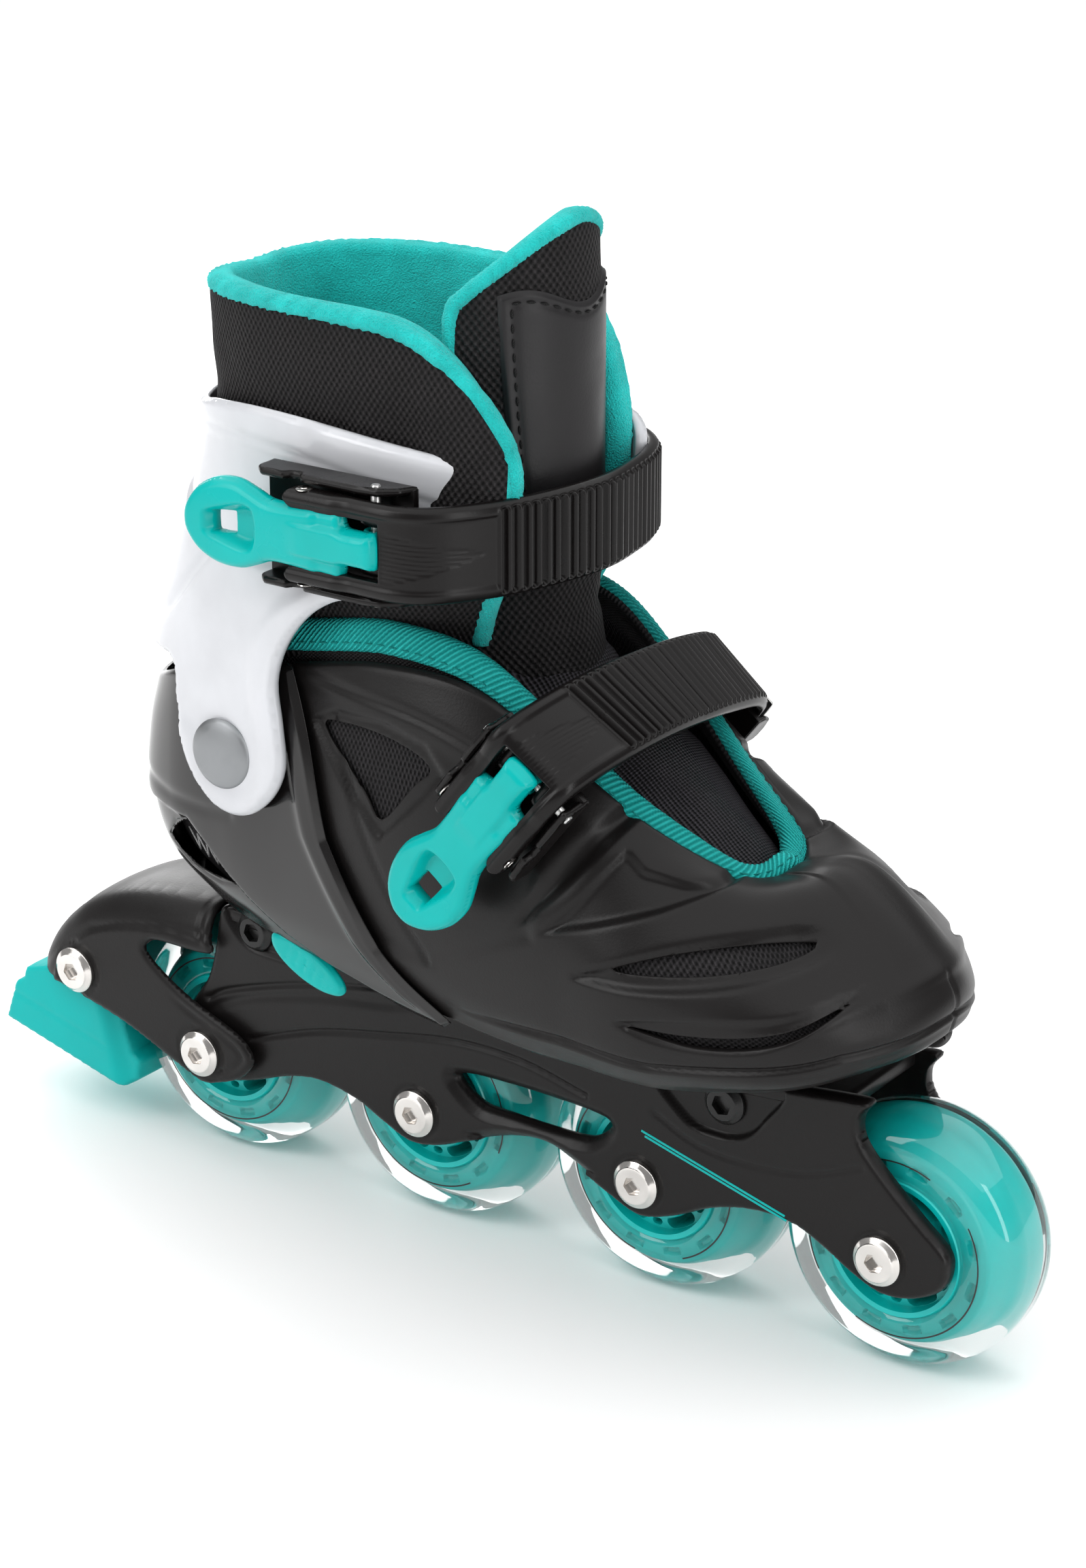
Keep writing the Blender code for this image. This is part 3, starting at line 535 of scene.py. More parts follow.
def clear(name, tint, roughness):
    """Clear cast polyurethane, with a slightly wavy skin and handling marks."""
    sockets = {"Transmission Weight": 1.0, "IOR": 1.22, "Coat Weight": 0.7, "Coat Roughness": 0.03}
    mat, tree, shader = blank(name, tint, roughness, sockets)
    place = node(tree, "TexCoord").outputs["Object"]
    wavy, marks = noise(tree, place, 90.0, 2.0), noise(tree, place, 700.0, 5.0)
    feed(tree, shader, "Roughness", spread(tree, marks, roughness * 0.3, roughness * 2.2))
    bump(tree, shader, wavy, 0.25, 0.35)
    return mat


def cloth(name, dark, light, pitch, depth, pattern, roughness=0.8, **sockets):
    """Cloth whose threads follow the weave coordinates: knit, twill, rib or fleece, with painted highlight on
    its raised threads and painted shade in the hollows between them.
    """
    mat, tree, shader = blank(name, dark, roughness, {"Specular IOR Level": 0.18, **sockets})
    weave = node(tree, "Attribute", attribute_name="weave").outputs["Vector"]
    parts = node(tree, "SeparateXYZ", {0: weave}).outputs
    place = node(tree, "TexCoord").outputs["Object"]
    fuzz, patch = noise(tree, place, 2400.0, 3.0), noise(tree, place, 130.0, 4.0)

    def wave(value, length):
        return maths(tree, "SINE", maths(tree, "MULTIPLY", value, TURN / length))

    if pattern == "knit":
        row = maths(tree, "MULTIPLY", wave(parts[0], pitch), wave(parts[1], pitch * 1.25))
    elif pattern == "twill":
        slant = maths(tree, "ADD", parts[0], parts[1])
        thread = wave(maths(tree, "SUBTRACT", parts[1], parts[0]), pitch * 0.3)
        row = maths(tree, "ADD", wave(slant, pitch), maths(tree, "MULTIPLY", thread, 0.35))
    elif pattern == "rib":
        row = maths(tree, "ADD", wave(parts[1], pitch),
                    maths(tree, "MULTIPLY", wave(parts[0], pitch * 0.7), 0.6))
    else:
        row = maths(tree, "MULTIPLY", patch, 1.2)
    height = maths(tree, "ADD", row, maths(tree, "MULTIPLY", fuzz, 1.3))
    # Painted highlight and shade: the colour runs from dark in the weave's hollows to light on its raised
    # threads, following the same height as the bump. The patch noise adds random tone.
    share = node(tree, "MapRange", {"Value": height, "From Min": -0.3, "From Max": 1.6}).outputs[0]
    shade = maths(tree, "MULTIPLY", share, spread(tree, patch, 0.7, 1.0))
    feed(tree, shader, "Base Color", blended(tree, shade, dark, light))
    feed(tree, shader, "Roughness", spread(tree, patch, roughness - 0.08, roughness + 0.08))
    bump(tree, shader, height, depth)
    return mat


def leather(name, colour, roughness):
    """Smooth coated leather: fine cells, faint creases and an uneven sheen."""
    mat, tree, shader = blank(name, colour, roughness, {"Specular IOR Level": 0.3})
    place = node(tree, "TexCoord").outputs["Object"]
    cells = node(tree, "TexVoronoi", {"Vector": place, "Scale": 1500.0}).outputs[0]
    crease = noise(tree, place, 60.0, 6.0)
    height = maths(tree, "ADD", maths(tree, "MULTIPLY", cells, 0.25), maths(tree, "MULTIPLY", crease, 2.0))
    feed(tree, shader, "Roughness", spread(tree, crease, roughness - 0.08, roughness + 0.1))
    feed(tree, shader, "Base Color", uneven_colour(tree, crease, colour, 0.8))
    bump(tree, shader, height, 0.06)
    return mat


TEAL = (0.0, 0.43, 0.405)
DEEP_TEAL = (0.0, 0.53, 0.505)
DULL = {"Specular IOR Level": 0.22}
FRAME_BLACK = moulded("frame_black", (0.007, 0.006, 0.006), 0.36, 1600, 0.03, **DULL)
GLOSS_BLACK = moulded("gloss_black", (0.006, 0.005, 0.005), 0.16, 500, 0.004, 0.04, 0.1)
SHELL_BLACK = moulded("shell_black", (0.008, 0.007, 0.007), 0.36, 1800, 0.03, **DULL)
BUCKLE_BLACK = moulded("buckle_black", (0.005, 0.004, 0.004), 0.3, 1500, 0.02, **DULL)
SCREW_BLACK = moulded("screw_black", (0.012, 0.012, 0.012), 0.3, 2200, 0.02, Metallic=0.4)
WHITE = moulded("cuff_white", (0.64, 0.65, 0.68), 0.2, 500, 0.004, 0.05, 0.0)
TEAL_PLASTIC = moulded("teal_plastic", TEAL, 0.26, 700, 0.008, 0.05, 0.15, **DULL)
CORE_TEAL = moulded("core_teal", DEEP_TEAL, 0.36, 900, 0.01, 0.05, 0.12)
PAD_TEAL = moulded("pad_teal", (0.0, 0.42, 0.405), 0.5, 1300, 0.04, 0.08, 0.3, **DULL)
PRINT_BLACK = moulded("print_black", (0.015, 0.01, 0.01), 0.4, 900, 0.004)
CLEAR = clear("clear_urethane", (0.965, 0.995, 0.99), 0.03)
NICKEL = metal("nickel", (0.78, 0.75, 0.72), 0.16)
STEEL = metal("steel", (0.62, 0.62, 0.61), 0.3)
RIVET_GREY = metal("rivet_grey", (0.29, 0.30, 0.31), 0.38, 900)
# Each cloth runs from its dark colour, painted shade in the weave's hollows, to its light colour, painted
# highlight on the raised threads. The cloth's own colour lies between the two.
KNIT = cloth("black_knit", (0.002, 0.002, 0.002), (0.05, 0.046, 0.048), 1.9, 0.9, "knit", 0.72)
FINE_KNIT = cloth("fine_knit", (0.002, 0.002, 0.002), (0.045, 0.042, 0.045), 1.0, 0.4, "knit", 0.78)
SATIN_RIB = cloth("satin_rib", (0.003, 0.003, 0.003), (0.065, 0.06, 0.07), 1.1, 0.35, "rib", 0.42)
TWILL = cloth("teal_twill", (0.0, 0.32, 0.30), (0.04, 0.76, 0.72), 1.5, 0.3, "twill", 0.62)
FLEECE = cloth("teal_fleece", (0.0, 0.33, 0.315), (0.02, 0.68, 0.65), 1.0, 0.7, "fleece", 0.9,
               **{"Sheen Weight": 0.12, "Sheen Roughness": 0.5})
LEATHER = leather("black_leather", (0.012, 0.011, 0.012), 0.42)
BLACK_THREAD = cloth("black_thread", (0.004, 0.004, 0.004), (0.04, 0.04, 0.04), 0.5, 0.1, "twill", 0.6)
WHITE_THREAD = cloth("white_thread", (0.45, 0.45, 0.45), (0.8, 0.8, 0.8), 0.5, 0.1, "twill", 0.6)
TEAL_THREAD = cloth("teal_thread", (0.0, 0.27, 0.255), (0.03, 0.52, 0.49), 0.5, 0.1, "twill", 0.6)


# ---------------------------------------------------------------- wheels and bolts

def polar(radii, segments):
    """Grid of a disc in flat coordinates."""
    params, quads = lattice(np.arange(segments) * TURN / segments, radii, wrap=True)
    flat = np.column_stack([np.cos(params[:, 0]), np.sin(params[:, 0])]) * params[:, 1:]
    return flat, quads


SOCKET_DEPTH = 1.9


def bar(radius, start, end):
    """Closed profile of a plain round bar for lathe()."""
    return [(AXIS_RADIUS, start), (radius, start), (radius, end), (AXIS_RADIUS, end)]


def socket_head(solid, centre, face, tip, radius, socket):
    """Round bolt head with a chamfer and a hexagon socket; face and tip are places along Y."""
    flat, quads = polar(np.linspace(socket * 0.5, radius, 22), 54)
    hexagon = [(socket * math.cos(a), socket * math.sin(a)) for a in np.arange(6) * TURN / 6 + 0.2]
    flat, faces = cut(flat, quads, -within(flat, hexagon))
    r = np.hypot(*flat.T)
    drop = np.maximum(r - radius + 1.3, 0) * 0.75 + 0.25 * smoothstep(r, radius - 1.5, radius - 1.2)
    sign = math.copysign(1.0, tip - face)
    plate(solid, flat + np.asarray(centre), faces, upright, tip - sign * drop, face, lip=0.06)
    floor = tip - sign * SOCKET_DEPTH
    rod = bar(socket + 0.3, floor, floor - sign)
    lathe(solid, rod, (centre[0], 0, centre[1]), 24)


def bolt_head(solid, centre, half, sign):
    """Plated bolt head on one side of a moulding of some half width."""
    socket_head(solid, centre, sign * (half + 0.05), sign * (half + 2.4), 6.2, 2.6)


HUB_PROFILE = [(11.1, 11.4), (12.2, 11.6), (12.6, 9.4), (15.7, 9.2), (16.1, 12.0), (17.6, 12.1),
               (17.9, 10.8), (22.0, 10.7), (24.2, 9.6), (25.4, 6.0), (26.1, 1.5)]
TYRE_PROFILE = [(17.2, 10.4), (17.85, 11.75), (20.0, 12.0), (22.3, 12.1), (22.7, 12.1), (25.5, 11.95),
                (27.6, 11.4), (29.2, 10.3), (30.5, 8.7), (31.4, 6.5), (31.85, 4.0), (32.0, 1.6)]
RACE_PROFILE = [(4.0, 4.9), (4.0, 11.9), (5.4, 11.9), (5.6, 11.6), (8.9, 11.6), (9.1, 11.9), (10.8, 11.9),
                (11.0, 11.7), (11.0, 4.9)]
PRINT_HALF = 12.1
PRINT_GAPS = ((0.10, 0.20), (0.60, 0.70))
PRINT_SHIFT = 0.13
CORE_OPENINGS = 12
TYRE_SEGMENTS = 120


def arc_slot(flat, turn, radius, half_length, half_width):
    """Distance inside a slot bent along a circle, at a share of a turn."""
    r = np.hypot(*flat.T)
    angle = (np.arctan2(flat[:, 1], flat[:, 0]) - turn * TURN + math.pi) % TURN - math.pi
    return half_width - np.hypot(np.maximum(np.abs(angle) * r - half_length, 0), r - radius)


def hub(solid, centre):
    flat, quads = polar(np.linspace(11.1, 26.1, 37), 180)
    holes = [arc_slot(flat, k / CORE_OPENINGS, 14.15, (2.9, 0.5)[k % 2], (1.45, 0.95)[k % 2])
             for k in range(CORE_OPENINGS)]
    flat, faces = cut(flat, quads, -np.max(holes, axis=0))
    half = np.interp(np.hypot(*flat.T), *zip(*HUB_PROFILE))
    for k in range(CORE_OPENINGS):
        pocket = arc_slot(flat, (k + 0.5) / CORE_OPENINGS, 21.0, 1.5, 1.2)
        half -= 1.6 * smoothstep(pocket, 0.0, 0.8)
    plate(solid, flat + np.array(centre)[[0, 2]], faces, upright, -half, half, lip=0.12)


def printed_ring(profile, shift):
    """Finish numbers of a tyre's faces: an interrupted ring printed on both of its sides."""
    marks = []
    for (_, y), (_, after) in zip(profile, profile[1:] + profile[:1]):
        on_ring = abs(y) == PRINT_HALF and abs(after) == PRINT_HALF
        for share in np.arange(TYRE_SEGMENTS) / TYRE_SEGMENTS:
            gap = any(low < (share + shift) % 1 < high for low, high in PRINT_GAPS)
            marks.append(1 if on_ring and not gap else 0)
    return marks


def wheels():
    tyre_section = TYRE_PROFILE + [(r, -y) for r, y in TYRE_PROFILE[::-1]]
    for n, x in enumerate(AXLE_X, 1):
        body = f"wheel_{n}"
        centre = (x, 0.0, AXLE_Z)
        tyre = Solid()
        lathe(tyre, tyre_section, centre, TYRE_SEGMENTS, printed_ring(tyre_section, PRINT_SHIFT * n))
        make(f"{body}_clear_tyre", tyre, [CLEAR, PRINT_BLACK], body, [f"{body}_tyre"], "clear_tyre")
        core = Solid()
        hub(core, centre)
        make(f"{body}_core", core, [CORE_TEAL], body, [f"{body}_hub"], "teal_plastic", 50)
        for label, sign in (("outer", -1), ("inner", 1)):
            race = Solid()
            lathe(race, [(r, sign * y) for r, y in RACE_PROFILE], centre, 48)
            make(f"{body}_{label}_race", race, [STEEL], body, [f"{body}_{label}_bearing"],
                 "bearing_steel", 35)
        face = BRAKE_HALF if n == 1 else FRAME_HALF
        for label, sign in (("axle", -1), ("axle_nut", 1)):
            bolt = Solid()
            bolt_head(bolt, (x, AXLE_Z), face, sign)
            if label == "axle":
                lathe(bolt, bar(3.0, -face, face + 0.3), centre, 32)
            make(f"{body}_{label}_head", bolt, [NICKEL], "chassis", [f"{body}_{label}"], "nickel", 35)


# ---------------------------------------------------------------- frame

FRAME_OUTLINE = [(118, 33), (116, 28), (109, 24), (101, 23), (93, 26), (84, 31), (76, 34), (65, 34),
                 (54, 31), (44, 26), (34, 23), (25, 26), (14, 31), (5, 34), (-6, 32.5), (-18, 28),
                 (-28, 24), (-36, 23), (-44, 26), (-53, 30), (-65, 32), (-76, 30), (-88, 25.5),
                 (-100, 23), (-108, 26), (-111, 33), (-107, 43), (-101, 52), (-98, 62), (-96.5, 70),
                 (-94, 73), (-80, 72.2), (-62, 70.4), (-42, 68.4), (-20, 68), (10, 67.4), (45, 67.1),
                 (62, 67.2), (78, 68.6), (90, 70), (96, 70), (93.5, 66), (94, 60), (100, 53), (110, 44),
                 (117, 38)]
DECK_LINE = [(-93, 73), (-80, 72), (-62, 70.3), (-50, 69.1), (-42, 68.2), (-20, 67.9), (10, 67.3),
             (45, 67.0), (62, 67.1), (78, 68.5), (90, 69.9)]
FRAME_WINDOW = [(-22, 44.5), (-13, 46.5), (11, 46.5), (24, 45), (21, 40), (14, 38), (-6, 38), (-15, 38.8)]
UPPER_RIDGE = [(-101, 46), (-94, 50), (-76, 56), (-56, 61), (-37, 64), (-22, 63)]
UNDER_RIDGE = UPPER_RIDGE + [(-40, 57), (-60, 54), (-84, 48), (-100, 41)]
LOWER_RIDGE = [(-87, 38), (-65, 46), (-43, 51), (-21, 55), (-1, 55), (18, 51)]
FRONT_POCKET = [(37, 67), (37, 61), (44, 54), (49, 51), (57, 50.4), (64, 52.5), (69, 58), (74, 68), (56, 75)]
REAR_POCKET = [(-95, 73), (-92.5, 68), (-87, 63.6), (-79, 62.6), (-66, 63.2), (-60, 66), (-60, 80),
               (-95, 80)]
ARCH_LINE = [(38, 52), (50, 47), (64, 46), (80, 48), (95, 54)]
STRIPES = [[(34.5, 46.4), (75, 35.6)], [(35.5, 45.2), (75.5, 34.5)]]
STRIPE_HALF = 0.28
FRAME_INSIDE = 14.0
BOSS_RADIUS = 6.9


def frame_moulding():
    outline = smooth(FRAME_OUTLINE, 4, True)
    window = smooth(FRAME_WINDOW, 5, True)
    params, quads = lattice(np.arange(-113, 121, 0.6), np.arange(21, 75, 0.6))
    keep = np.minimum(within(params, outline), -within(params, window))
    for spot in (middle_of("front_mount_bolt"), middle_of("rear_mount_bolt")):
        keep = np.minimum(keep, np.hypot(*(params - spot[[0, 2]]).T) - 2.9)
    params, faces = cut(params, quads, keep)
    edge = np.minimum(within(params, outline), -within(params, window))
    lift = -rounding(edge, 1.3)
    lift += groove(params, UPPER_RIDGE, 1.0, 0.75) + groove(params, LOWER_RIDGE, 1.0, 0.7)
    lift += recess(inside_of(params, UNDER_RIDGE), 0.7, 3.5)
    lift += recess(inside_of(params, FRONT_POCKET), 1.9, 1.2)
    lift += recess(inside_of(params, REAR_POCKET), 1.7, 1.4)
    lift += groove(params, ARCH_LINE, 0.5, 0.8)
    lift -= 1.6 * smoothstep(-edge, -3.4, 0.0) * (within(params, window) > -8.9)
    for x in AXLE_X:
        lift -= 0.35 * bell(np.hypot(params[:, 0] - x, params[:, 1] - AXLE_Z) - BOSS_RADIUS, 0.35)
    solid = Solid()
    for sign in (-1, 1):
        plate(solid, params, faces, upright, sign * (FRAME_HALF + lift), sign * FRAME_INSIDE, lip=0.25)
    params, quads = lattice(np.arange(-94, 91, 2.0), np.linspace(-17.5, 17.5, 15))
    top = np.interp(params[:, 0], *zip(*DECK_LINE)) - 0.15
    plate(solid, params, quads, lying, top, top - 3.4, lip=0.3)
    make("frame_moulding", solid, [FRAME_BLACK], "chassis", ["frame"], "frame_black")


def frame_stripes():
    stripes = Solid()
    for line in STRIPES:
        path, quads = lattice(np.linspace(0, 1, 60), (-STRIPE_HALF, STRIPE_HALF))
        start, end = np.array(line, float)
        ahead = unit(end - start)
        flat = start + path[:, :1] * (end - start) + path[:, 1:] * np.array((-ahead[1], ahead[0]))
        plate(stripes, flat, quads, upright, -FRAME_HALF - 0.09, -FRAME_HALF + 0.1, lip=0.02)
    make("frame_stripes", stripes, [TEAL_PLASTIC], "chassis")


def mount_screws():
    far = FRAME_HALF + 1.5
    for label, low in (("front", 16.8), ("rear", 17.0)):
        spot = middle_of(f"{label}_mount_bolt")
        bolt = Solid()
        socket_head(bolt, spot[[0, 2]], -low, -low - 2.0, 5.4, 2.7)
        shank = [(AXIS_RADIUS, -low), (2.5, -low), (2.5, far - 0.3), (2.0, far), (AXIS_RADIUS, far)]
        lathe(bolt, shank, (spot[0], 0, spot[2]), 28)
        make(f"{label}_mount_screw", bolt, [SCREW_BLACK], "chassis", [f"{label}_mount_bolt"],
             "black_screw", 35)


BRAKE_CREST = [(-160, 41), (-158.5, 46), (-155, 52), (-150, 57.5), (-143, 63), (-132, 68), (-118, 71),
               (-105, 72.5), (-98, 72.6)]
BRAKE_UNDER = [(-97.5, 66), (-97, 60.5), (-113, 60), (-117.5, 59), (-119, 56), (-113, 51), (-104, 46),
               (-90, 40.5), (-85.5, 37.5), (-83.5, 33.5), (-85.5, 30), (-89, 27), (-95, 24.5), (-101, 23.2),
               (-109, 26), (-128, 33.5), (-146, 38), (-156, 40)]


BRAKE_SEAM = [(-158, 41), (-150, 50), (-139, 58), (-120, 62.5), (-99, 64.5)]
BLOCK_OUTLINE = [(-166, 38), (-167, 34.5), (-170, 33), (-174, 21.5), (-133, 11), (-129.5, 13.5),
                 (-128.2, 19), (-131, 21), (-133, 27), (-136, 38), (-137, 48), (-148, 52), (-153, 46),
                 (-156, 41)]
BLOCK_GROOVE = [(-171, 30), (-138, 22)]
CROWN_STEPS = 10
CROWN_RISE = 1.2
FENDER_WALL = 3.0


def brake_fender():
    crest = smooth(BRAKE_CREST, 6)
    outline = np.vstack([crest, smooth(BRAKE_UNDER, 4)])
    params, quads = lattice(np.arange(-162, -81, 0.8), np.arange(22, 75, 0.8))
    params, faces = cut(params, quads, within(params, outline))
    up = away(params, crest)
    under = away(params, np.vstack([crest[-1:], smooth(BRAKE_UNDER, 4), crest[:1]]))
    half = BRAKE_HALF - rounding(up, 9.0) - rounding(under, 1.4)
    half -= 0.9 * smoothstep(8.5 - up, 0, 1.0) + 0.3 * bell(away(params, BRAKE_SEAM), 0.7)
    half -= 0.5 * bell(under - 3.2, 0.6) * smoothstep(params[:, 0], -112, -104)
    for centre in ((AXLE_X[0], AXLE_Z), middle_of("brake_bolt")[[0, 2]]):
        half -= 0.4 * bell(np.hypot(*(params - centre).T) - 7.2, 0.4)
    count = len(params)
    points = np.vstack([upright(*params.T, -half), upright(*params.T, half)])
    left = [face[::-1] for face in faces]
    right = [[i + count for i in face] for face in faces]
    border = [(a, b) for a, b in border_of(left) if max(up[a], up[b]) < 0.3]
    rim = sorted({i for edge in border for i in edge})
    across = [i + count for i in rim]
    rows = [rim]
    for share in np.arange(1, CROWN_STEPS) / CROWN_STEPS:
        row = points[rim] + (points[across] - points[rim]) * share
        row[:, 2] += CROWN_RISE * math.sin(math.pi * share) ** 0.7
        rows.append([len(points) + i for i in range(len(rim))])
        points = np.vstack([points, row])
    rows.append(across)
    place = {i: k for k, i in enumerate(rim)}
    arm = Solid()
    arm.add(points, left + right + walls_between(rows, place, border))
    obj = make("brake_fender", arm, [FRAME_BLACK], "chassis", ["brake_arm"], "frame_black")
    wall = obj.modifiers.new("Wall", "SOLIDIFY")
    wall.thickness = FENDER_WALL * MM
    wall.offset = -1.0


def brake_block():
    params, quads = lattice(np.arange(-175, -127, 0.8), np.arange(10, 54, 0.8))
    params, faces = cut(params, quads, within(params, BLOCK_OUTLINE))
    half = PAD_HALF - rounding(within(params, BLOCK_OUTLINE), 1.0) - 0.5
    half -= 2.6 * smoothstep(params[:, 0] + 0.25 * params[:, 1], -132.5, -127)
    half += groove(params, BLOCK_GROOVE, 0.35, 0.5, 1)
    pad = Solid()
    plate(pad, params, faces, upright, -half, half, lip=0.3)
    make("brake_block", pad, [PAD_TEAL], "chassis", ["brake_pad"], "brake_rubber")


def brake_bolt():
    bolt = Solid()
    spot = middle_of("brake_bolt")
    for sign in (-1, 1):
        bolt_head(bolt, spot[[0, 2]], BRAKE_HALF, sign)
    make("brake_bolt_heads", bolt, [NICKEL], "chassis", ["brake_bolt"], "nickel", 35)


# ---------------------------------------------------------------- boot surface

# Half of the foot surface: stations from the middle of the heel to the tip of the toe, each with
# five points from the upper edge, over the shoulder and the widest line, to the sole's edge.
FOOT_RIBS = [
    [(-116, 0, 133), (-118.5, 0, 122), (-119, 0, 105), (-116, 0, 91), (-110, 0, 83)],
    [(-110.5, -17, 134), (-112.5, -19, 121), (-113, -20, 104), (-110, -18, 90), (-103, -14, 80.5)],
    [(-97, -28, 140), (-98, -29.5, 124), (-98, -30, 105), (-95, -27.5, 89), (-89, -23, 79)],
    [(-79, -32, 148), (-79, -33.7, 130), (-79, -34, 107), (-77, -32, 88), (-72, -28, 77)],
    [(-58, -33.5, 151), (-58, -35.5, 135), (-58, -36.5, 110), (-56, -35, 88), (-54, -31.5, 76)],
    [(-30, -35, 156.5), (-30, -39, 138), (-30, -40.5, 110), (-28, -38.5, 86), (-27, -33.5, 72)],
    [(-5, -33.5, 155.5), (-5, -39, 138), (-3, -42.5, 108), (-2, -41, 83), (0, -36, 70)],
    [(17, -29.5, 144), (20, -37, 130), (24, -44, 103), (26, -43, 81), (27, -36.5, 69.5)],
    [(38, -23.5, 129), (44, -33.5, 119), (50, -44.5, 98), (52, -43.5, 80), (52, -36.5, 69.8)],
    [(56, -15.5, 118.5), (67, -25, 114), (83, -37, 94.5), (84, -36, 81), (82, -31, 75)],
    [(62, -7.5, 115.5), (79, -12.5, 116), (100, -19.5, 95), (101, -18.5, 84), (98, -15, 79.5)],
    [(64, 0, 116.5), (82, 0, 118.5), (106.5, 0, 98), (106.5, 0, 87), (103, 0, 81)],
]
MIRRORED = [[(x, -y, z) for x, y, z in rib] for rib in FOOT_RIBS[-2:0:-1]]
RING = np.array(FOOT_RIBS + MIRRORED, float)
RING = np.concatenate([2 * RING[:, :1] - RING[:, 1:2], RING, 2 * RING[:, -1:] - RING[:, -2:-1]], axis=1)
STATIONS = len(RING)
TOE = len(FOOT_RIBS) - 1
SOLE_ROW = 4
SOLE_LINE = [(-118, 84), (-100, 78), (-80, 76), (-50, 73), (-20, 69), (10, 68.2), (45, 68), (65, 70),
             (85, 75), (98, 80), (110, 85)]
SOLE_LOW = 68.0
WALL_ROWS = np.append(np.linspace(0, SOLE_ROW, 105), SOLE_ROW + np.array((0.06, 0.14, 0.4, 0.8, 1.3, 2)))


def spline_weights(f):
    return (-0.5 * f + f ** 2 - 0.5 * f ** 3, 1 - 2.5 * f ** 2 + 1.5 * f ** 3,
            0.5 * f + 2 * f ** 2 - 1.5 * f ** 3, -0.5 * f ** 2 + 0.5 * f ** 3)


def foot(s, t):
    """Foot surface at station s, counted all the way round, and row t; rows past 4 cross the sole."""
    s, row = np.asarray(s, float), np.clip(t, 0, SOLE_ROW)
    i, j = np.floor(s).astype(int), np.clip(np.floor(row).astype(int), 0, SOLE_ROW - 1)
    total = np.zeros((len(s), 3))
    for a, weight_a in enumerate(spline_weights(s - i)):
        for b, weight_b in enumerate(spline_weights(row - j)):
            total += (weight_a * weight_b)[:, None] * RING[(i + a - 1) % STATIONS, j + b]
    share = np.clip(t - SOLE_ROW, 0, 2) / 2
    sole = np.interp(total[:, 0], *zip(*SOLE_LINE))
    total[:, 1] *= 1 - share
    total[:, 2] += (sole - total[:, 2]) * (1 - (1 - share) ** 2)
    return total


def half_station(s):
    """Station counted from the heel on either side."""
    s = np.mod(s, STATIONS)
    return np.minimum(s, STATIONS - s)


def round_the_toe(s):
    """Stations up to the tip of the toe and back along the other side."""
    return np.concatenate([s, (STATIONS - s[:-1])[::-1]])


# ---------------------------------------------------------------- toe shell

SIDE_WINDOW = [(-47, 138), (-40, 140.5), (-28, 140.5), (-17, 138), (-12.5, 134.5), (-17, 130), (-27, 119),
               (-33, 125)]
VENT = [(42, 99.5), (52, 104.4), (65, 108), (76, 109.4), (83.5, 108.8), (79, 105.6), (61, 101.4)]
VENT_RECESS = [(31, 95.5), (44, 102.5), (61, 109), (76, 112), (86, 111.8), (91.5, 109), (86, 104.5),
               (77, 101), (61, 97.2), (45, 95)]
LOWER_SLOT = [(46, 86.8), (60, 87.5), (74, 89.5), (86, 93), (94.5, 98), (88, 91), (76, 86.2), (61, 84.6)]
SLOT_RECESS = [(44, 88), (58, 91.5), (74, 94), (86, 96.5), (96, 100), (91, 93), (79, 86), (62, 83.6),
               (50, 84.6)]
TRIANGLE = [(38.5, 125), (31, 114), (21.5, 103), (34, 107), (50, 112.5), (63.5, 118.5), (53, 119), (44, 121)]
FIN = [(39, 139), (38.5, 131), (33, 121), (24, 110), (13, 101), (15, 106), (21, 116), (28, 127)]
SIDE_ARCH = [(-62, 150), (-40, 148.5), (-15, 146), (6, 139), (22, 126)]
HIND_FACET = [(-44, 141), (-39, 129), (-31, 112), (-22, 97), (-13, 86)]
RIM_SEAM = [(6, 3.55), (7, 3.25), (8, 3.2), (9, 2.8), (9.5, 2.62), (10, 2.62), (11, 2.7)]
RIM_CREASE = [(8.6, 2.5), (9.1, 2.15), (9.6, 1.95), (10.05, 1.88), (11, 1.9)]
TIP_RIDGE = ((0, 0.6, 1.2, 1.9), (10.35, 10.3, 10.3, 10.4))
ROW_HEIGHT = 12.0
STATION_LENGTH = 12.0
WINDOW_FRAME = [(x + dx, z + dz) for (x, z), (dx, dz) in zip(SIDE_WINDOW, (
    (-4, 1), (-2, 3), (1, 3.5), (3, 3), (4.5, 0), (3, -3), (0, -5), (-4, -2)))]
HIND_PANEL = SIDE_ARCH + [(22, 100), (-10, 84), (-62, 80)]


def band(x, start, full, fade, end):
    """Rises from start to full and falls again from fade to end."""
    return smoothstep(x, start, full) * (1 - smoothstep(x, fade, end))


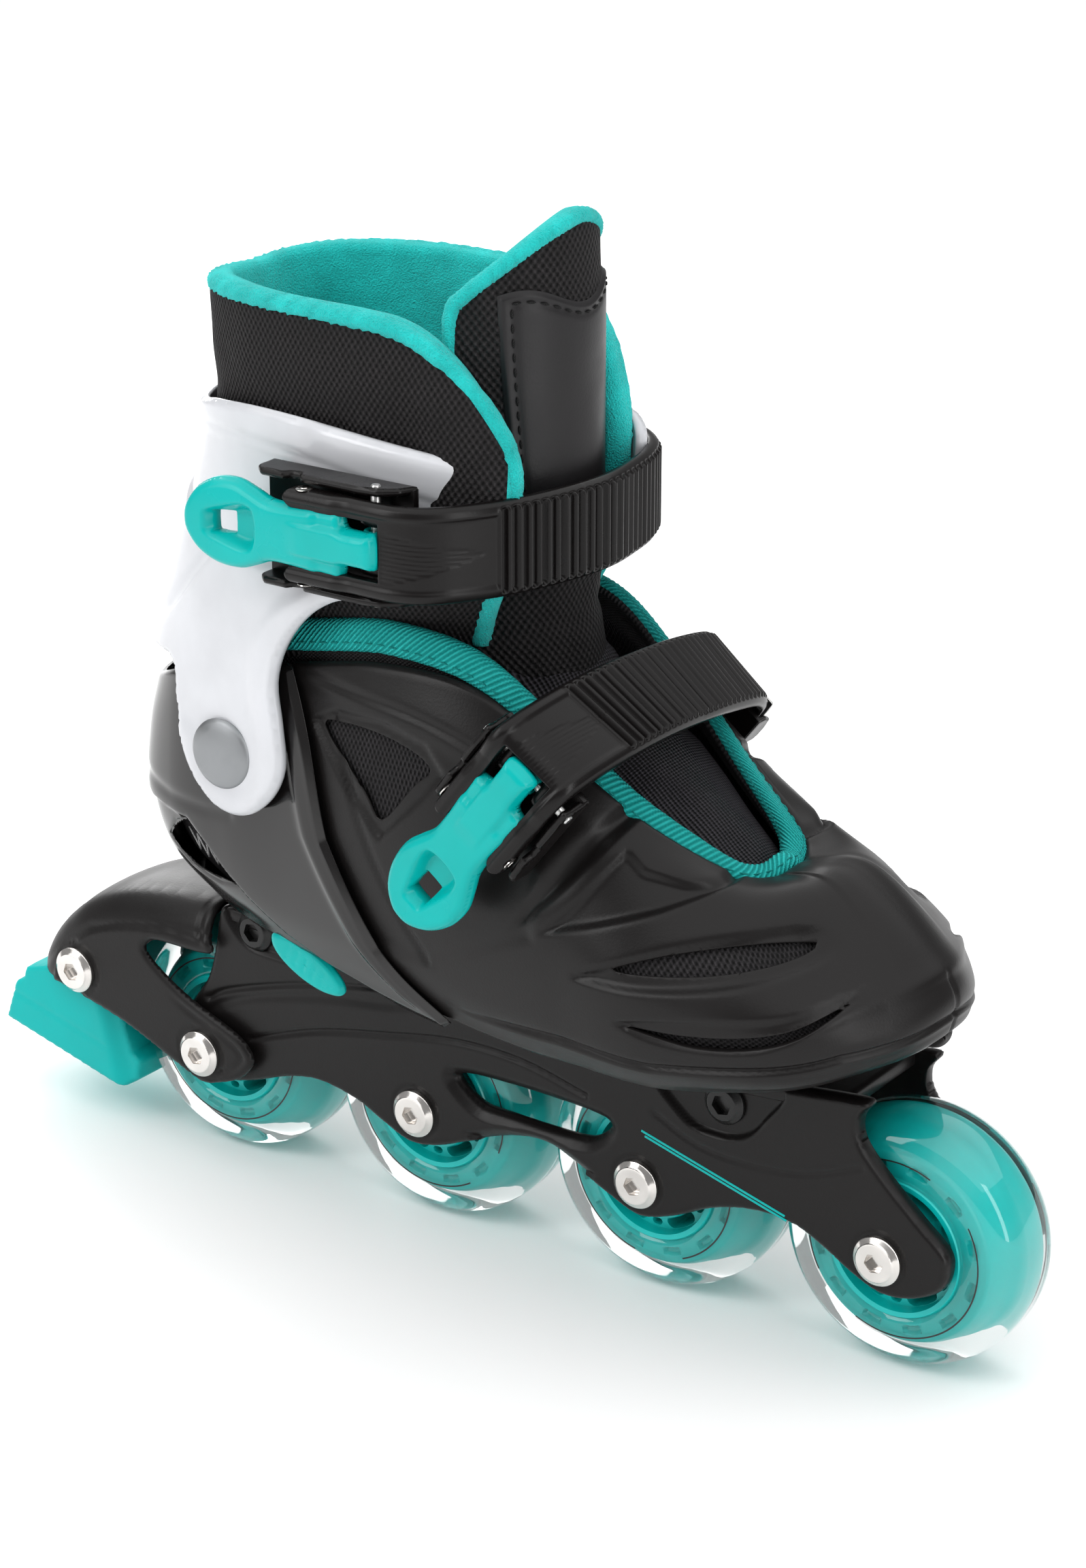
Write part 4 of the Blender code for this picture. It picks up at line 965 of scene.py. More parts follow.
def toe_relief(base, params):
    flat = side_view(base)
    s, t = half_station(params[:, 0]), params[:, 1]
    side = smoothstep(-np.abs(s - 6.5), -4.4, -3.4)
    lift = -rounding(t * 10.0, 1.2)
    lift += recess(inside_of(flat, VENT_RECESS, 5), 1.7, 2.2) * smoothstep(-s, -10.0, -9.4)
    lift += recess(inside_of(flat, SLOT_RECESS), 1.1, 1.6) + recess(within(flat, TRIANGLE), 1.7, 1.6)
    lift += recess(inside_of(flat, FIN), 1.5, 3.0) + recess(within(flat, WINDOW_FRAME), 0.9, 1.0)
    lift += side * (groove(flat, HIND_FACET, 0.6, 0.8) + groove(flat, SIDE_ARCH, 0.5, 1.1)
                    + recess(within(flat, HIND_PANEL), 0.8, 5.0))
    seam = (t - np.interp(s, *zip(*RIM_SEAM))) * ROW_HEIGHT
    lift += smoothstep(s, 5.6, 6.8) * (0.9 * band(seam, 0, 1.2, 6, 13) - 0.8 * bell(seam, 0.55))
    crease = (t - np.interp(s, *zip(*RIM_CREASE))) * ROW_HEIGHT
    lift += smoothstep(s, 8.6, 9.6) * (0.3 * bell(crease, 1.2) - 0.5 * band(crease, 0, 1.2, 2, 8))
    gap = (s - np.interp(t, *TIP_RIDGE)) * STATION_LENGTH
    lift += 0.35 * band(gap, -0.9, 0.9, 3, 9) * smoothstep(-t, -1.9, -1.0) * smoothstep(t, 0.02, 0.3)
    lift -= 0.5 * bell((s - TOE) * 14.0, 0.5) * smoothstep(t, 1.85, 2.0) * (t < SOLE_ROW)
    return lift


def toe_shell():
    stations = np.concatenate([np.linspace(4, TOE - 1.6, 150), np.linspace(TOE - 1.6, TOE, 66)[1:]])
    params, quads = lattice(round_the_toe(stations), WALL_ROWS)
    flat = side_view(foot(*params.T))
    holes = (inside_of(flat, SIDE_WINDOW), inside_of(flat, VENT, 5), inside_of(flat, LOWER_SLOT))
    params, faces = cut(params, quads, -np.max(holes, axis=0))
    solid = Solid()
    shell(solid, params, faces, foot, 2.4, toe_relief, lip=0.25)
    make("toe_moulding", solid, [SHELL_BLACK], "toe", ["toe_shell"], "shell_black")


# ---------------------------------------------------------------- rear shell

HEEL_EDGE = ((0, 1, 2, 3, 4, 4.5, 6), (4.05, 4.3, 4.55, 5.0, 5.65, 4.3, 4.0))
HEEL_WINDOW = [(-104, 93.5), (-98, 99.5), (-91.5, 102.5), (-87, 99), (-76, 90.2), (-84, 88.8), (-95, 89.5)]
BAND_REAR = [(-93, 104), (-84, 97), (-72, 88), (-60, 81), (-48, 76.5), (-36, 74), (-20, 71)]
HEEL_RECESS = BAND_REAR + [(-20, 60), (-135, 60), (-135, 105)]
HEEL_FRAME = [(x + 0.15 * (x + 90), z + 0.3 * (z - 95)) for x, z in HEEL_WINDOW]
HEEL_LINE = [(-125, 112), (-112, 109), (-98, 108), (-84, 108), (-76, 109)]
HEEL_WALL = 2.6


def heel_surface(q, t):
    return foot(np.mod(q * np.interp(t, *HEEL_EDGE), STATIONS), t)


def heel_relief(base, params):
    flat = side_view(base)
    lift = HEEL_WALL + recess(within(flat, HEEL_RECESS), 1.3, 1.4)
    near_front = (1 - np.abs(params[:, 0])) * np.interp(params[:, 1], *HEEL_EDGE) * 22.0
    lift += 0.75 * bell(near_front - 4.0, 1.5) * smoothstep(-params[:, 1], -4.0, -3.6)
    lift += recess(within(flat, HEEL_FRAME), 0.7, 1.5) + groove(flat, HEEL_LINE, 0.5, 1.6, 1)
    return lift - rounding(near_front, 1.3) - rounding(params[:, 1] * 10.0, 1.4)


def rear_shell():
    params, quads = lattice(np.linspace(-1, 1, 241), WALL_ROWS)
    flat = side_view(heel_surface(*params.T))
    params, faces = cut(params, quads, -inside_of(flat, HEEL_WINDOW))
    solid = Solid()
    shell(solid, params, faces, heel_surface, -0.9, heel_relief, lip=0.3)
    make("heel_moulding", solid, [GLOSS_BLACK], "chassis", ["rear_shell"], "heel_black")


BUTTON_TILT = math.radians(-24)
BUTTON_LONG, BUTTON_SHORT = 12.3, 4.5
BUTTON_RIBS = (-6.0, -3.0, 0.0, 3.0, 6.0)
STEM_END = -24.9


def size_button():
    spot, half = middle_of("size_button"), box_of("size_button")[1]
    face = spot[1] - half[1]
    flat, quads = polar(np.linspace(0.02, 1, 18), 64)
    r = np.hypot(*flat.T)
    a, b = flat[:, 0] * BUTTON_LONG, flat[:, 1] * BUTTON_SHORT
    c, s = math.cos(BUTTON_TILT), math.sin(BUTTON_TILT)
    flat = np.column_stack([spot[0] + a * c - b * s, spot[2] + a * s + b * c])
    outer = face - 0.2 * (1 - r ** 2) + rounding((1 - r) * BUTTON_SHORT, 1.1)
    for rib in BUTTON_RIBS:
        outer += 0.22 * bell(a - rib, 0.5) * smoothstep(-np.abs(b), -2.6, -1.8)
    button = Solid()
    plate(button, flat, quads, upright, outer, face + 2.0, lip=0.15)
    lathe(button, bar(1.6, face + 1.8, STEM_END), (spot[0], 0, spot[2]), 20)
    make("push_button_cap", button, [TEAL_PLASTIC], "push_button", ["size_button"], "teal_plastic")


# ---------------------------------------------------------------- liner and binding

RISE = ((0, 2, 4, 5, 6, 7, 8, 9, 10, 11), (5, 6, 8.5, 8.0, 6.0, 4.0, 3.0, 3.0, 3.5, 4.0))
LINER_INSET = 3.2
LINER_WALL = 3.4
BINDING_INSET = 2.4


def liner_point(s, t):
    """Liner surface; rows below 0 rise out of the shells, up to the binding."""
    base = foot(s, np.maximum(t, 0))
    edge, under = foot(s, np.zeros(len(s))), foot(s, np.full(len(s), 0.45))
    lean = unit(unit(edge - under) + np.array((0.0, 0.0, 0.5)))
    rise = np.interp(half_station(s), *RISE)
    return base + lean * (rise * np.clip(-t, 0, 1))[:, None]


def inset_point(s, t, inset):
    """Point of the liner's skin at some depth under the foot surface."""
    e = 0.02
    base, wall = liner_point(s, t), np.minimum(t, SOLE_ROW - e)
    along = liner_point(s + e, wall) - liner_point(s - e, wall)
    down = liner_point(s, wall + e) - liner_point(s, wall - e)
    normal = unit(np.cross(down, along))
    under = smoothstep(t, SOLE_ROW - 0.1, SOLE_ROW + 0.1)
    normal[:, 2] -= under * (1 + normal[:, 2])
    normal[:, 1] *= 1 - np.clip(t - SOLE_ROW, 0, 2) / 2
    return base - normal * np.reshape(inset, (-1, 1)), normal


def liner():
    rows = np.concatenate([np.linspace(-1, 0, 9)[:-1], np.linspace(0, 4, 41), (4.1, 4.3, 4.8, 5.4, 6.0)])
    params, quads = lattice(np.arange(0, STATIONS, 0.1), rows, wrap=True)
    inset = LINER_INSET - 1.4 * smoothstep(-params[:, 1], -0.2, 0.8)
    outer, normal = inset_point(*params.T, inset)
    inner = outer - normal * LINER_WALL
    floor = params[:, 1] > SOLE_ROW + 0.05
    inner[floor, 2] = outer[floor, 2] + LINER_WALL
    weave = np.column_stack([params[:, 0] * 20.0, params[:, 1] * 12.0])
    solid = Solid()
    close(solid, outer, inner, [q[::-1] for q in quads], 1.2, (0, 0, 0), weave)
    s, t = np.array([(1.75 + 0.115 * k, 2.55 + 0.02 * k + 0.38 * (k % 2)) for k in range(13)]).T
    for zigzag in (s, STATIONS - s):
        line, out = inset_point(zigzag, t, LINER_INSET - 0.25)
        for p, q, n in zip(line, line[1:], out):
            across = np.cross(unit(q - p), n)
            tube(solid, np.linspace(p, q, 4), np.tile(across, (4, 1)), np.tile(n, (4, 1)), 0.3, 0.25, 6, 1)
    obj = make("boot_liner", solid, [FINE_KNIT, WHITE_THREAD], None, ["heel_lining", "toe_lining"],
               "boot_fabric")
    bend_with_toe(obj)


def bend_with_toe(obj):
    """Applies the cloth's transform to its mesh; the cloth stays where it was made."""
    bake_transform(obj)


def binding():
    s = round_the_toe(np.concatenate([np.linspace(3.2, 9, 170), np.linspace(9, TOE, 110)[1:]]))
    top, normal = inset_point(s, np.full(len(s), -1.0), BINDING_INSET)
    low, _ = inset_point(s, np.full(len(s), -0.2), BINDING_INSET)
    across = unit(top - low)
    toe_end = smoothstep(half_station(s), 8.5, 10.5)
    half = 4.1 - 1.2 * toe_end
    thick = 2.0 + 0.9 * toe_end
    solid = Solid()

    def ribs(place):
        return 0.14 * np.sin((place[:, 0] + place[:, 1]) * TURN / 1.5)

    path = top - across * (0.4 * half)[:, None]
    tube(solid, path, across, normal, half, thick, 30, 0, 2.6, lift=ribs)
    line = path - across * (0.45 * half)[:, None] + normal * (thick * 0.95)[:, None]
    stitches(solid, line, normal, 2.2, 1.4, 0.22, 1)
    obj = make("throat_binding", solid, [TWILL, TEAL_THREAD], None, slot="boot_fabric")
    bend_with_toe(obj)


INSOLE_HALF = [(-99, 0), (-96, 9), (-88, 15), (-74, 19), (-50, 22), (-20, 25), (10, 28), (35, 28), (48, 23),
               (54, 12), (55.5, 0)]
QUILT_PITCH = 6.0


def insole():
    outline = smooth(mirrored(INSOLE_HALF), 4, True)
    params, quads = lattice(np.arange(-101, 58, 1.5), np.arange(-30, 30.1, 1.5))
    params, faces = cut(params, quads, within(params, outline))
    edge = within(params, outline)
    middle, half = box_of("footbed")
    bottom = middle[2] - half[2] + np.interp(params[:, 0], *zip(*SOLE_LINE)) - SOLE_LOW
    top = bottom + 2.4 + 2.2 * smoothstep(-edge, -8, 0) - rounding(edge, 1.4)
    top += 0.12 * np.sin(params * TURN / QUILT_PITCH).prod(1)
    solid = Solid()
    plate(solid, params, faces, lying, top, bottom, lip=0.2, weave=params)
    obj = make("insole", solid, [FINE_KNIT], "chassis", ["footbed"], "boot_fabric")


# ---------------------------------------------------------------- cuff

CUFF_OUTLINE = [(-130, 146), (-97, 146), (-92, 136), (-88, 126), (-83, 118.5), (-75, 113), (-66, 113),
                (-58.5, 118.5), (-54.5, 127), (-55.5, 138), (-57, 148), (-54.5, 157), (-49, 165),
                (-42, 170.5), (-34, 173.3), (-15, 175.8), (-3, 179), (1, 184), (3, 196), (2, 206),
                (-14, 209.5), (-40, 212.5), (-62, 213.5), (-80, 212), (-95, 209), (-130, 207)]
CUFF_RINGS = [(108, -52, 70, 60, 43.2), (127, -52, 69, 60, 42.9), (146, -50, 66, 59, 42.0),
              (165, -48, 62, 58, 40.4), (190, -45, 58, 58, 39.8), (216, -43, 55, 57, 38.5)]
RING_FITS = [np.polyfit([row[0] for row in CUFF_RINGS], [row[k] for row in CUFF_RINGS], 3)
             for k in range(1, 5)]
RING_POWER = 2.5


def ring(angle, z, inset=0.0):
    """Plan section of the ankle at a height; angle 0 is the back and 180 degrees the front."""
    centre, rear, front, half = (np.polyval(fit, z) for fit in RING_FITS)
    c, s = -np.cos(angle), np.sin(angle)
    length = np.where(c > 0, front, rear) - inset
    reach = (np.abs(c) ** RING_POWER + np.abs(s) ** RING_POWER) ** (-1.0 / RING_POWER)
    return np.column_stack([centre + length * c * reach, -(half - inset) * s * reach, z])


UPPER_CREASE = [(-112, 198), (-100, 203.5), (-80, 206), (-60, 205.5), (-40, 203), (-20, 199.5), (-2, 196)]
UPPER_HOLLOW = UPPER_CREASE + [(-2, 186), (-20, 181), (-50, 176), (-80, 176), (-100, 186)]
BACK_CREASE = [(-112, 206), (-106, 199), (-104, 192), (-107, 180), (-112, 168)]
SWEEP_CREASE = [(-78, 178), (-88, 168), (-98, 158), (-110, 150)]
LEG_CREASE = [(-61, 112), (-60, 130), (-63, 150), (-59, 162), (-49, 170), (-36, 177), (-16, 179.5)]


CUFF_REACH = math.radians(150)
CUFF_WALL = 2.2
RIVET_HOLE = 5.0
SLIT_ANGLE = math.radians(27)
# radius and drop from the tip of the rivet's domed cap
RIVET_PROFILE = [(AXIS_RADIUS, 0.0), (3.0, 0.12), (6.0, 0.5), (8.0, 1.05), (8.8, 1.6), (9.0, 2.2),
                 (8.8, 2.6), (3.0, 2.6), (3.0, 10.0), (AXIS_RADIUS, 10.0)]


def cuff_relief(base, _):
    flat = side_view(base)
    lift = 1.1 * smoothstep(-away(flat, smooth(CUFF_OUTLINE[3:22])), -9.0, -1.5)
    lift -= rounding(inside_of(flat, CUFF_OUTLINE), 1.1)
    lift += groove(flat, UPPER_CREASE, 0.9, 1.3) + recess(inside_of(flat, UPPER_HOLLOW, 3), 1.2, 3.0)
    lift += groove(flat, BACK_CREASE, 1.1, 1.6) + groove(flat, SWEEP_CREASE, 1.1, 1.6)
    return lift - groove(flat, LEG_CREASE, 0.5, 2.0)


def cuff():
    params, quads = lattice(np.linspace(-CUFF_REACH, CUFF_REACH, 340), np.arange(110.5, 215.5, 0.75))
    flat = side_view(ring(*params.T))
    hole = np.hypot(*(flat - middle_of("cuff_rivet_outer")[[0, 2]]).T) - RIVET_HOLE
    slit = np.maximum(np.abs(np.abs(params[:, 0]) - SLIT_ANGLE) * 58 - 2.2, np.abs(params[:, 1] - 174) - 10)
    keep = np.min((inside_of(flat, CUFF_OUTLINE), hole, slit), axis=0)
    params, faces = cut(params, quads, keep)
    solid = Solid()
    shell(solid, params, faces, ring, CUFF_WALL, cuff_relief, lip=0.5)
    make("cuff_moulding", solid, [WHITE], "cuff", ["cuff"], "white_plastic")
    for label, sign in (("outer", -1), ("inner", 1)):
        spot, half = middle_of(f"cuff_rivet_{label}"), box_of(f"cuff_rivet_{label}")[1]
        tip = abs(spot[1]) + half[1]
        rivet = Solid()
        lathe(rivet, [(r, sign * (tip - drop)) for r, drop in RIVET_PROFILE], (spot[0], 0, spot[2]), 64)
        make(f"cuff_rivet_{label}_cap", rivet, [RIVET_GREY], "cuff", [f"cuff_rivet_{label}"],
             "rivet_grey", 40)


# ---------------------------------------------------------------- collar and tongue

COLLAR_REACH = math.radians(139)
COLLAR_INSET = 3.6
COLLAR_WALL = 6.2
COLLAR_MIDDLE = np.array((-45.0, 0.0, 190.0))
FLEECE_FROM = 163.0


def arch(reach, low, high, climb, span):
    """Parameters up one edge of a panel, along its top and down the other edge."""
    top = np.linspace(-reach, reach, span)[1:-1]
    side = np.concatenate([np.full(climb, -reach), top, np.full(climb, reach)])
    part = np.concatenate([np.linspace(low, high, climb), np.full(len(top), high),
                           np.linspace(high, low, climb)])
    return side, part


def level_out(points, middle):
    """Level directions away from an upright axis."""
    return unit((points - middle) * (1, 1, 0))


def rolled_edge(solid, rim, out, taps, half_across, half_out, sides, fluff):
    """Roll of fleece along a rim, whose path is evened out over some of its points."""
    evened = [np.convolve(np.pad(line, taps // 2, "edge"), np.ones(taps) / taps, "valid") for line in rim.T]
    rim = np.column_stack(evened)
    across = unit(np.cross(unit(np.gradient(rim, axis=0)), out))
    tube(solid, rim, across, out, half_across, half_out, sides, 1, lift=fluff)


def collar_top(share):
    return 236 + 2.5 * np.sin(math.pi * share) - 26 * np.maximum((share - 0.74) / 0.26, 0) ** 2.4


def collar_bottom(share):
    return 148 + 11 * share ** 1.5


def collar_point(share, part):
    side = np.abs(share)
    low, high = collar_bottom(side), collar_top(side)
    z = low + part * (high - low)
    tuck = 7.0 * smoothstep(-z, -180, -160) * smoothstep(side, 0.35, 0.6)
    return ring(share * COLLAR_REACH, z, COLLAR_INSET + tuck)


def collar_flare(share, part):
    """The collar's inner front edge stands further out towards its top."""
    return 5.5 * smoothstep(share, 0.80, 1.0) * smoothstep(part, 0.25, 0.6)


def cord_fluff(place):
    cord = 0.22 * np.sin((place[:, 0] + place[:, 1] * 2.0) * TURN / 3.0)
    return cord + 0.2 * np.sin(place[:, 0] * 5.1) * np.sin(place[:, 1] * 4.3 + place[:, 0])


def plain_fluff(place):
    return 0.2 * np.sin(place[:, 0] * 4.3) * np.sin(place[:, 1] * 3.7 + place[:, 0])


def collar():
    share = np.concatenate([np.linspace(-1, -0.7, 46)[:-1], np.linspace(-0.7, 0.7, 131),
                            np.linspace(0.7, 1, 46)[1:]])
    params, quads = lattice(share, np.linspace(0, 1, 70))
    base = collar_point(*params.T)
    faces, normal = turned(base, quads, base - COLLAR_MIDDLE)
    part, side = params[:, 1], np.abs(params[:, 0])
    free = smoothstep(base[:, 2], 212, 226) + smoothstep(side, 0.80, 0.92) * smoothstep(base[:, 2], 176, 190)
    free = np.clip(free, 0, 1)
    flare = collar_flare(*params.T)
    puff = free * (2.2 * np.sin(np.pi * part).clip(0) ** 0.5 + ripple(base, 55, 0.35, 3)) + flare
    wall = COLLAR_WALL - flare * 0.6 - ripple(base, 40, 0.5, 5)
    weave = np.column_stack([params[:, 0] * 150.0, base[:, 2]])
    solid = Solid()
    outer, inner = base + normal * puff[:, None], base - normal * wall[:, None]
    close(solid, outer, inner, faces, 2.2, (0, 1, 1), weave)
    heights = np.vstack(solid.points)[:, 2]
    solid.finish = [mark if heights[face].min() > FLEECE_FROM else 0
                    for face, mark in zip(solid.faces, solid.finish)]
    path = arch(1.0, 0.02, 1.0, 40, 200)
    rim = collar_point(*path)
    out = level_out(rim, COLLAR_MIDDLE)
    rim += out * (collar_flare(*path) - 1.6)[:, None]
    rolled_edge(solid, rim, out, 9, 2.3, 2.8, 18, cord_fluff)
    obj = make("ankle_collar", solid, [KNIT, FLEECE], "cuff", ["collar"], "boot_fabric")


TONGUE_LOW = 152.0
TONGUE_MIDDLE = np.array((-26.0, 0.0, 0.0))
TONGUE_WALL = 5.0
FACING_LOW, FACING_TOP = 176.0, 243.5


def tongue_top(share):
    return 261 - 20 * np.abs(share) ** 1.6


def tongue_point(share, z, offset=0.0):
    angle = share * math.radians(72)
    long, wide = 29.5 + offset, 25 + offset
    lean = 3.0 * smoothstep(-z, -172, -150)
    return np.column_stack([TONGUE_MIDDLE[0] + lean + long * np.cos(angle), wide * np.sin(angle), z])


def tongue_height(share, part):
    return TONGUE_LOW + part * (tongue_top(share) - TONGUE_LOW)


def facing_point(a, b, offset):
    """Leather facing over the tongue, narrower towards its bottom and with a wavy top."""
    width = 0.68 - 0.18 * (1 - b) ** 1.5
    top = FACING_TOP - 2.25 * np.cos(a * 4.2)
    return tongue_point(a * width, FACING_LOW + b * (top - FACING_LOW), offset)


def upper_tongue():
    params, quads = lattice(np.linspace(-1, 1, 110), np.linspace(0, 1, 120))
    z = tongue_height(*params.T)
    base = tongue_point(params[:, 0], z)
    faces, normal = turned(base, quads, np.array((1, 0, 0)))
    puff = np.sin(np.pi * params[:, 1]) ** 0.5 * (1 - params[:, 0] ** 4) + ripple(base, 30, 0.3, 8)
    puff += 0.9 * bell(z - 176, 2.5) - 0.8 * bell(z - 166, 2.5)
    weave = np.column_stack([params[:, 0] * 34.0, z])
    solid = Solid()
    close(solid, base + normal * puff[:, None], base - normal * TONGUE_WALL, faces, 1.8, (0, 1, 1), weave)
    side, part = arch(1.0, 0.1, 1.0, 60, 140)
    rim = tongue_point(side, tongue_height(side, part), -1.2)
    rolled_edge(solid, rim, level_out(rim, TONGUE_MIDDLE), 7, 1.9, 2.3, 16, plain_fluff)
    tongue = make("tongue_pad", solid, [KNIT, FLEECE], None, ["tongue_upper"], "boot_fabric")
    bend_with_cuff(tongue)


def tongue_facing():
    params, quads = lattice(np.linspace(-1, 1, 90), np.linspace(0, 1, 100))
    edge = np.minimum((1 - np.abs(params[:, 0])) * 18, (1 - params[:, 1]) * 60)
    lift = 1.9 - rounding(edge, 0.9) - 0.35 * bell(edge - 2.2, 0.8)
    facing = Solid()
    skins(facing, facing_point(*params.T, lift), facing_point(*params.T, 0.6), quads, lip=0.2)
    line = facing_point(*arch(0.88, 0.02, 0.965, 60, 80), 1.75)
    stitches(facing, line, level_out(line, TONGUE_MIDDLE), 2.1, 1.3, 0.3, 1)
    bend_with_cuff(make("tongue_facing", facing, [LEATHER, BLACK_THREAD], None, slot="boot_fabric"))


def bend_with_cuff(obj):
    """Applies the cloth's transform to its mesh; the cloth stays where it was made."""
    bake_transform(obj)


TONGUE_PATH = [(3.8, 160), (5, 155.5), (9, 150.5), (17, 144.5), (28, 137), (40, 127.5), (50, 119.5),
               (57, 114), (61, 109)]
GUSSET_WALL = 3.6
TONGUE_HALF = ((0, 0.15, 0.5, 0.8, 1), (17, 21.5, 21.5, 14.5, 10))


def lower_tongue():
    path = smooth(TONGUE_PATH, 14)
    along = np.linspace(0, 1, len(path))
    params, quads = lattice(along, np.linspace(-1, 1, 61))
    share, w = params.T
    spot = read_off(share, along, path)
    ahead = unit(read_off(share, along, np.gradient(path, axis=0)))
    half = np.interp(share, *TONGUE_HALF)
    sag = 9.0 * w ** 2 * (1 - 0.5 * share)
    base = np.column_stack([spot[:, 0] + ahead[:, 1] * sag, half * w, spot[:, 1] - ahead[:, 0] * sag])
    faces, normal = turned(base, quads, np.array((0, 0, 1)))
    puff = 0.35 * np.sin(share * TURN * 7) * (1 - w ** 2) * smoothstep(-share, -0.5, -0.2)
    puff += ripple(base, 25, 0.3, 11)
    weave = np.column_stack([np.interp(share, along, run_of(path)), half * w])
    solid = Solid()
    close(solid, base + normal * puff[:, None], base - normal * GUSSET_WALL, faces, 0.8, (0, 0, 0), weave)
    obj = make("tongue_gusset", solid, [SATIN_RIB], None, ["tongue_lower"], "boot_fabric")
    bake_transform(obj)


# ---------------------------------------------------------------- buckles

HINGE_LIFT = 5.5
UPPER_PATH = [(-22.5, 49.9), (-9, 49.9), (8, 49.7), (17, 44.5), (25, 31), (30, 15), (32, 0),
              (30.3, -13), (27.7, -23.5), (23.2, -32.5), (16.2, -39.2), (10, -42.2), (4, -43), (-7, -43)]
LOWER_PATH = [(-22.5, 51.6), (-10, 51.6), (3, 51.4), (7.8, 46), (10.8, 36), (12.3, 24), (12.3, 12), (11, 0),
              (9, -13), (5.8, -26), (2.2, -36), (-2.4, -42), (-8, -43.1), (-16, -43.1)]
LEVER_OUTLINE = [(3.3, 3.6), (0, 3.9), (-5, 4.0), (-6.2, 5.2), (-7, 7.4), (-10, 7.8), (-20, 7.2), (-27, 7.2),
                 (-32, 9), (-37, 10.6), (-43, 10.2), (-48, 7.6), (-51, 3.5), (-51.7, 0)]
FINGER_RECESS = [(-46, 0), (-45.6, 3.0), (-41, 4.8), (-35, 6.2), (-31, 5.0), (-29.8, 0)]
LEVER_HOLE = [(-44.2, -2.2), (-44.2, 2.2), (-43.4, 2.9), (-38.8, 2.9), (-38, 2.2), (-38, -2.2), (-38.8, -2.9),
              (-43.4, -2.9)]
BARREL = [(1.5, -3.8), (2.8, -3.8), (3.0, -3.5), (3.0, 3.5), (2.8, 3.8), (1.5, 3.8)]
LUG = smooth([(-5, 1.0), (-4.8, 5.0), (-3, 6.9), (0, 7.4), (3, 6.9), (4.6, 5.0), (5, 1.0)], 3)
PAWL_TOP = ((1.5, 3, 9, 12), (7.8, 7.9, 7.9, 6.9))
PAWL_LOW = ((1.5, 3, 9, 12), (6.6, 6.8, 6.8, 6.2))
STRAP_CAP = [(1.0, 11.2), (2.1, 11.25), (2.2, 11.5), (1.6, 11.75), (1.0, 11.6)]
STRAP_PIN_U, STRAP_PIN_V = -18.0, 9.0
PAWL_LIFT = 6.6
PIN_RADIUS = 1.2
STRAP_HALF = 11.2
STRAP_STEP = 0.42
PRONG_MIDDLE = 9.2
TOOTH = 2.7


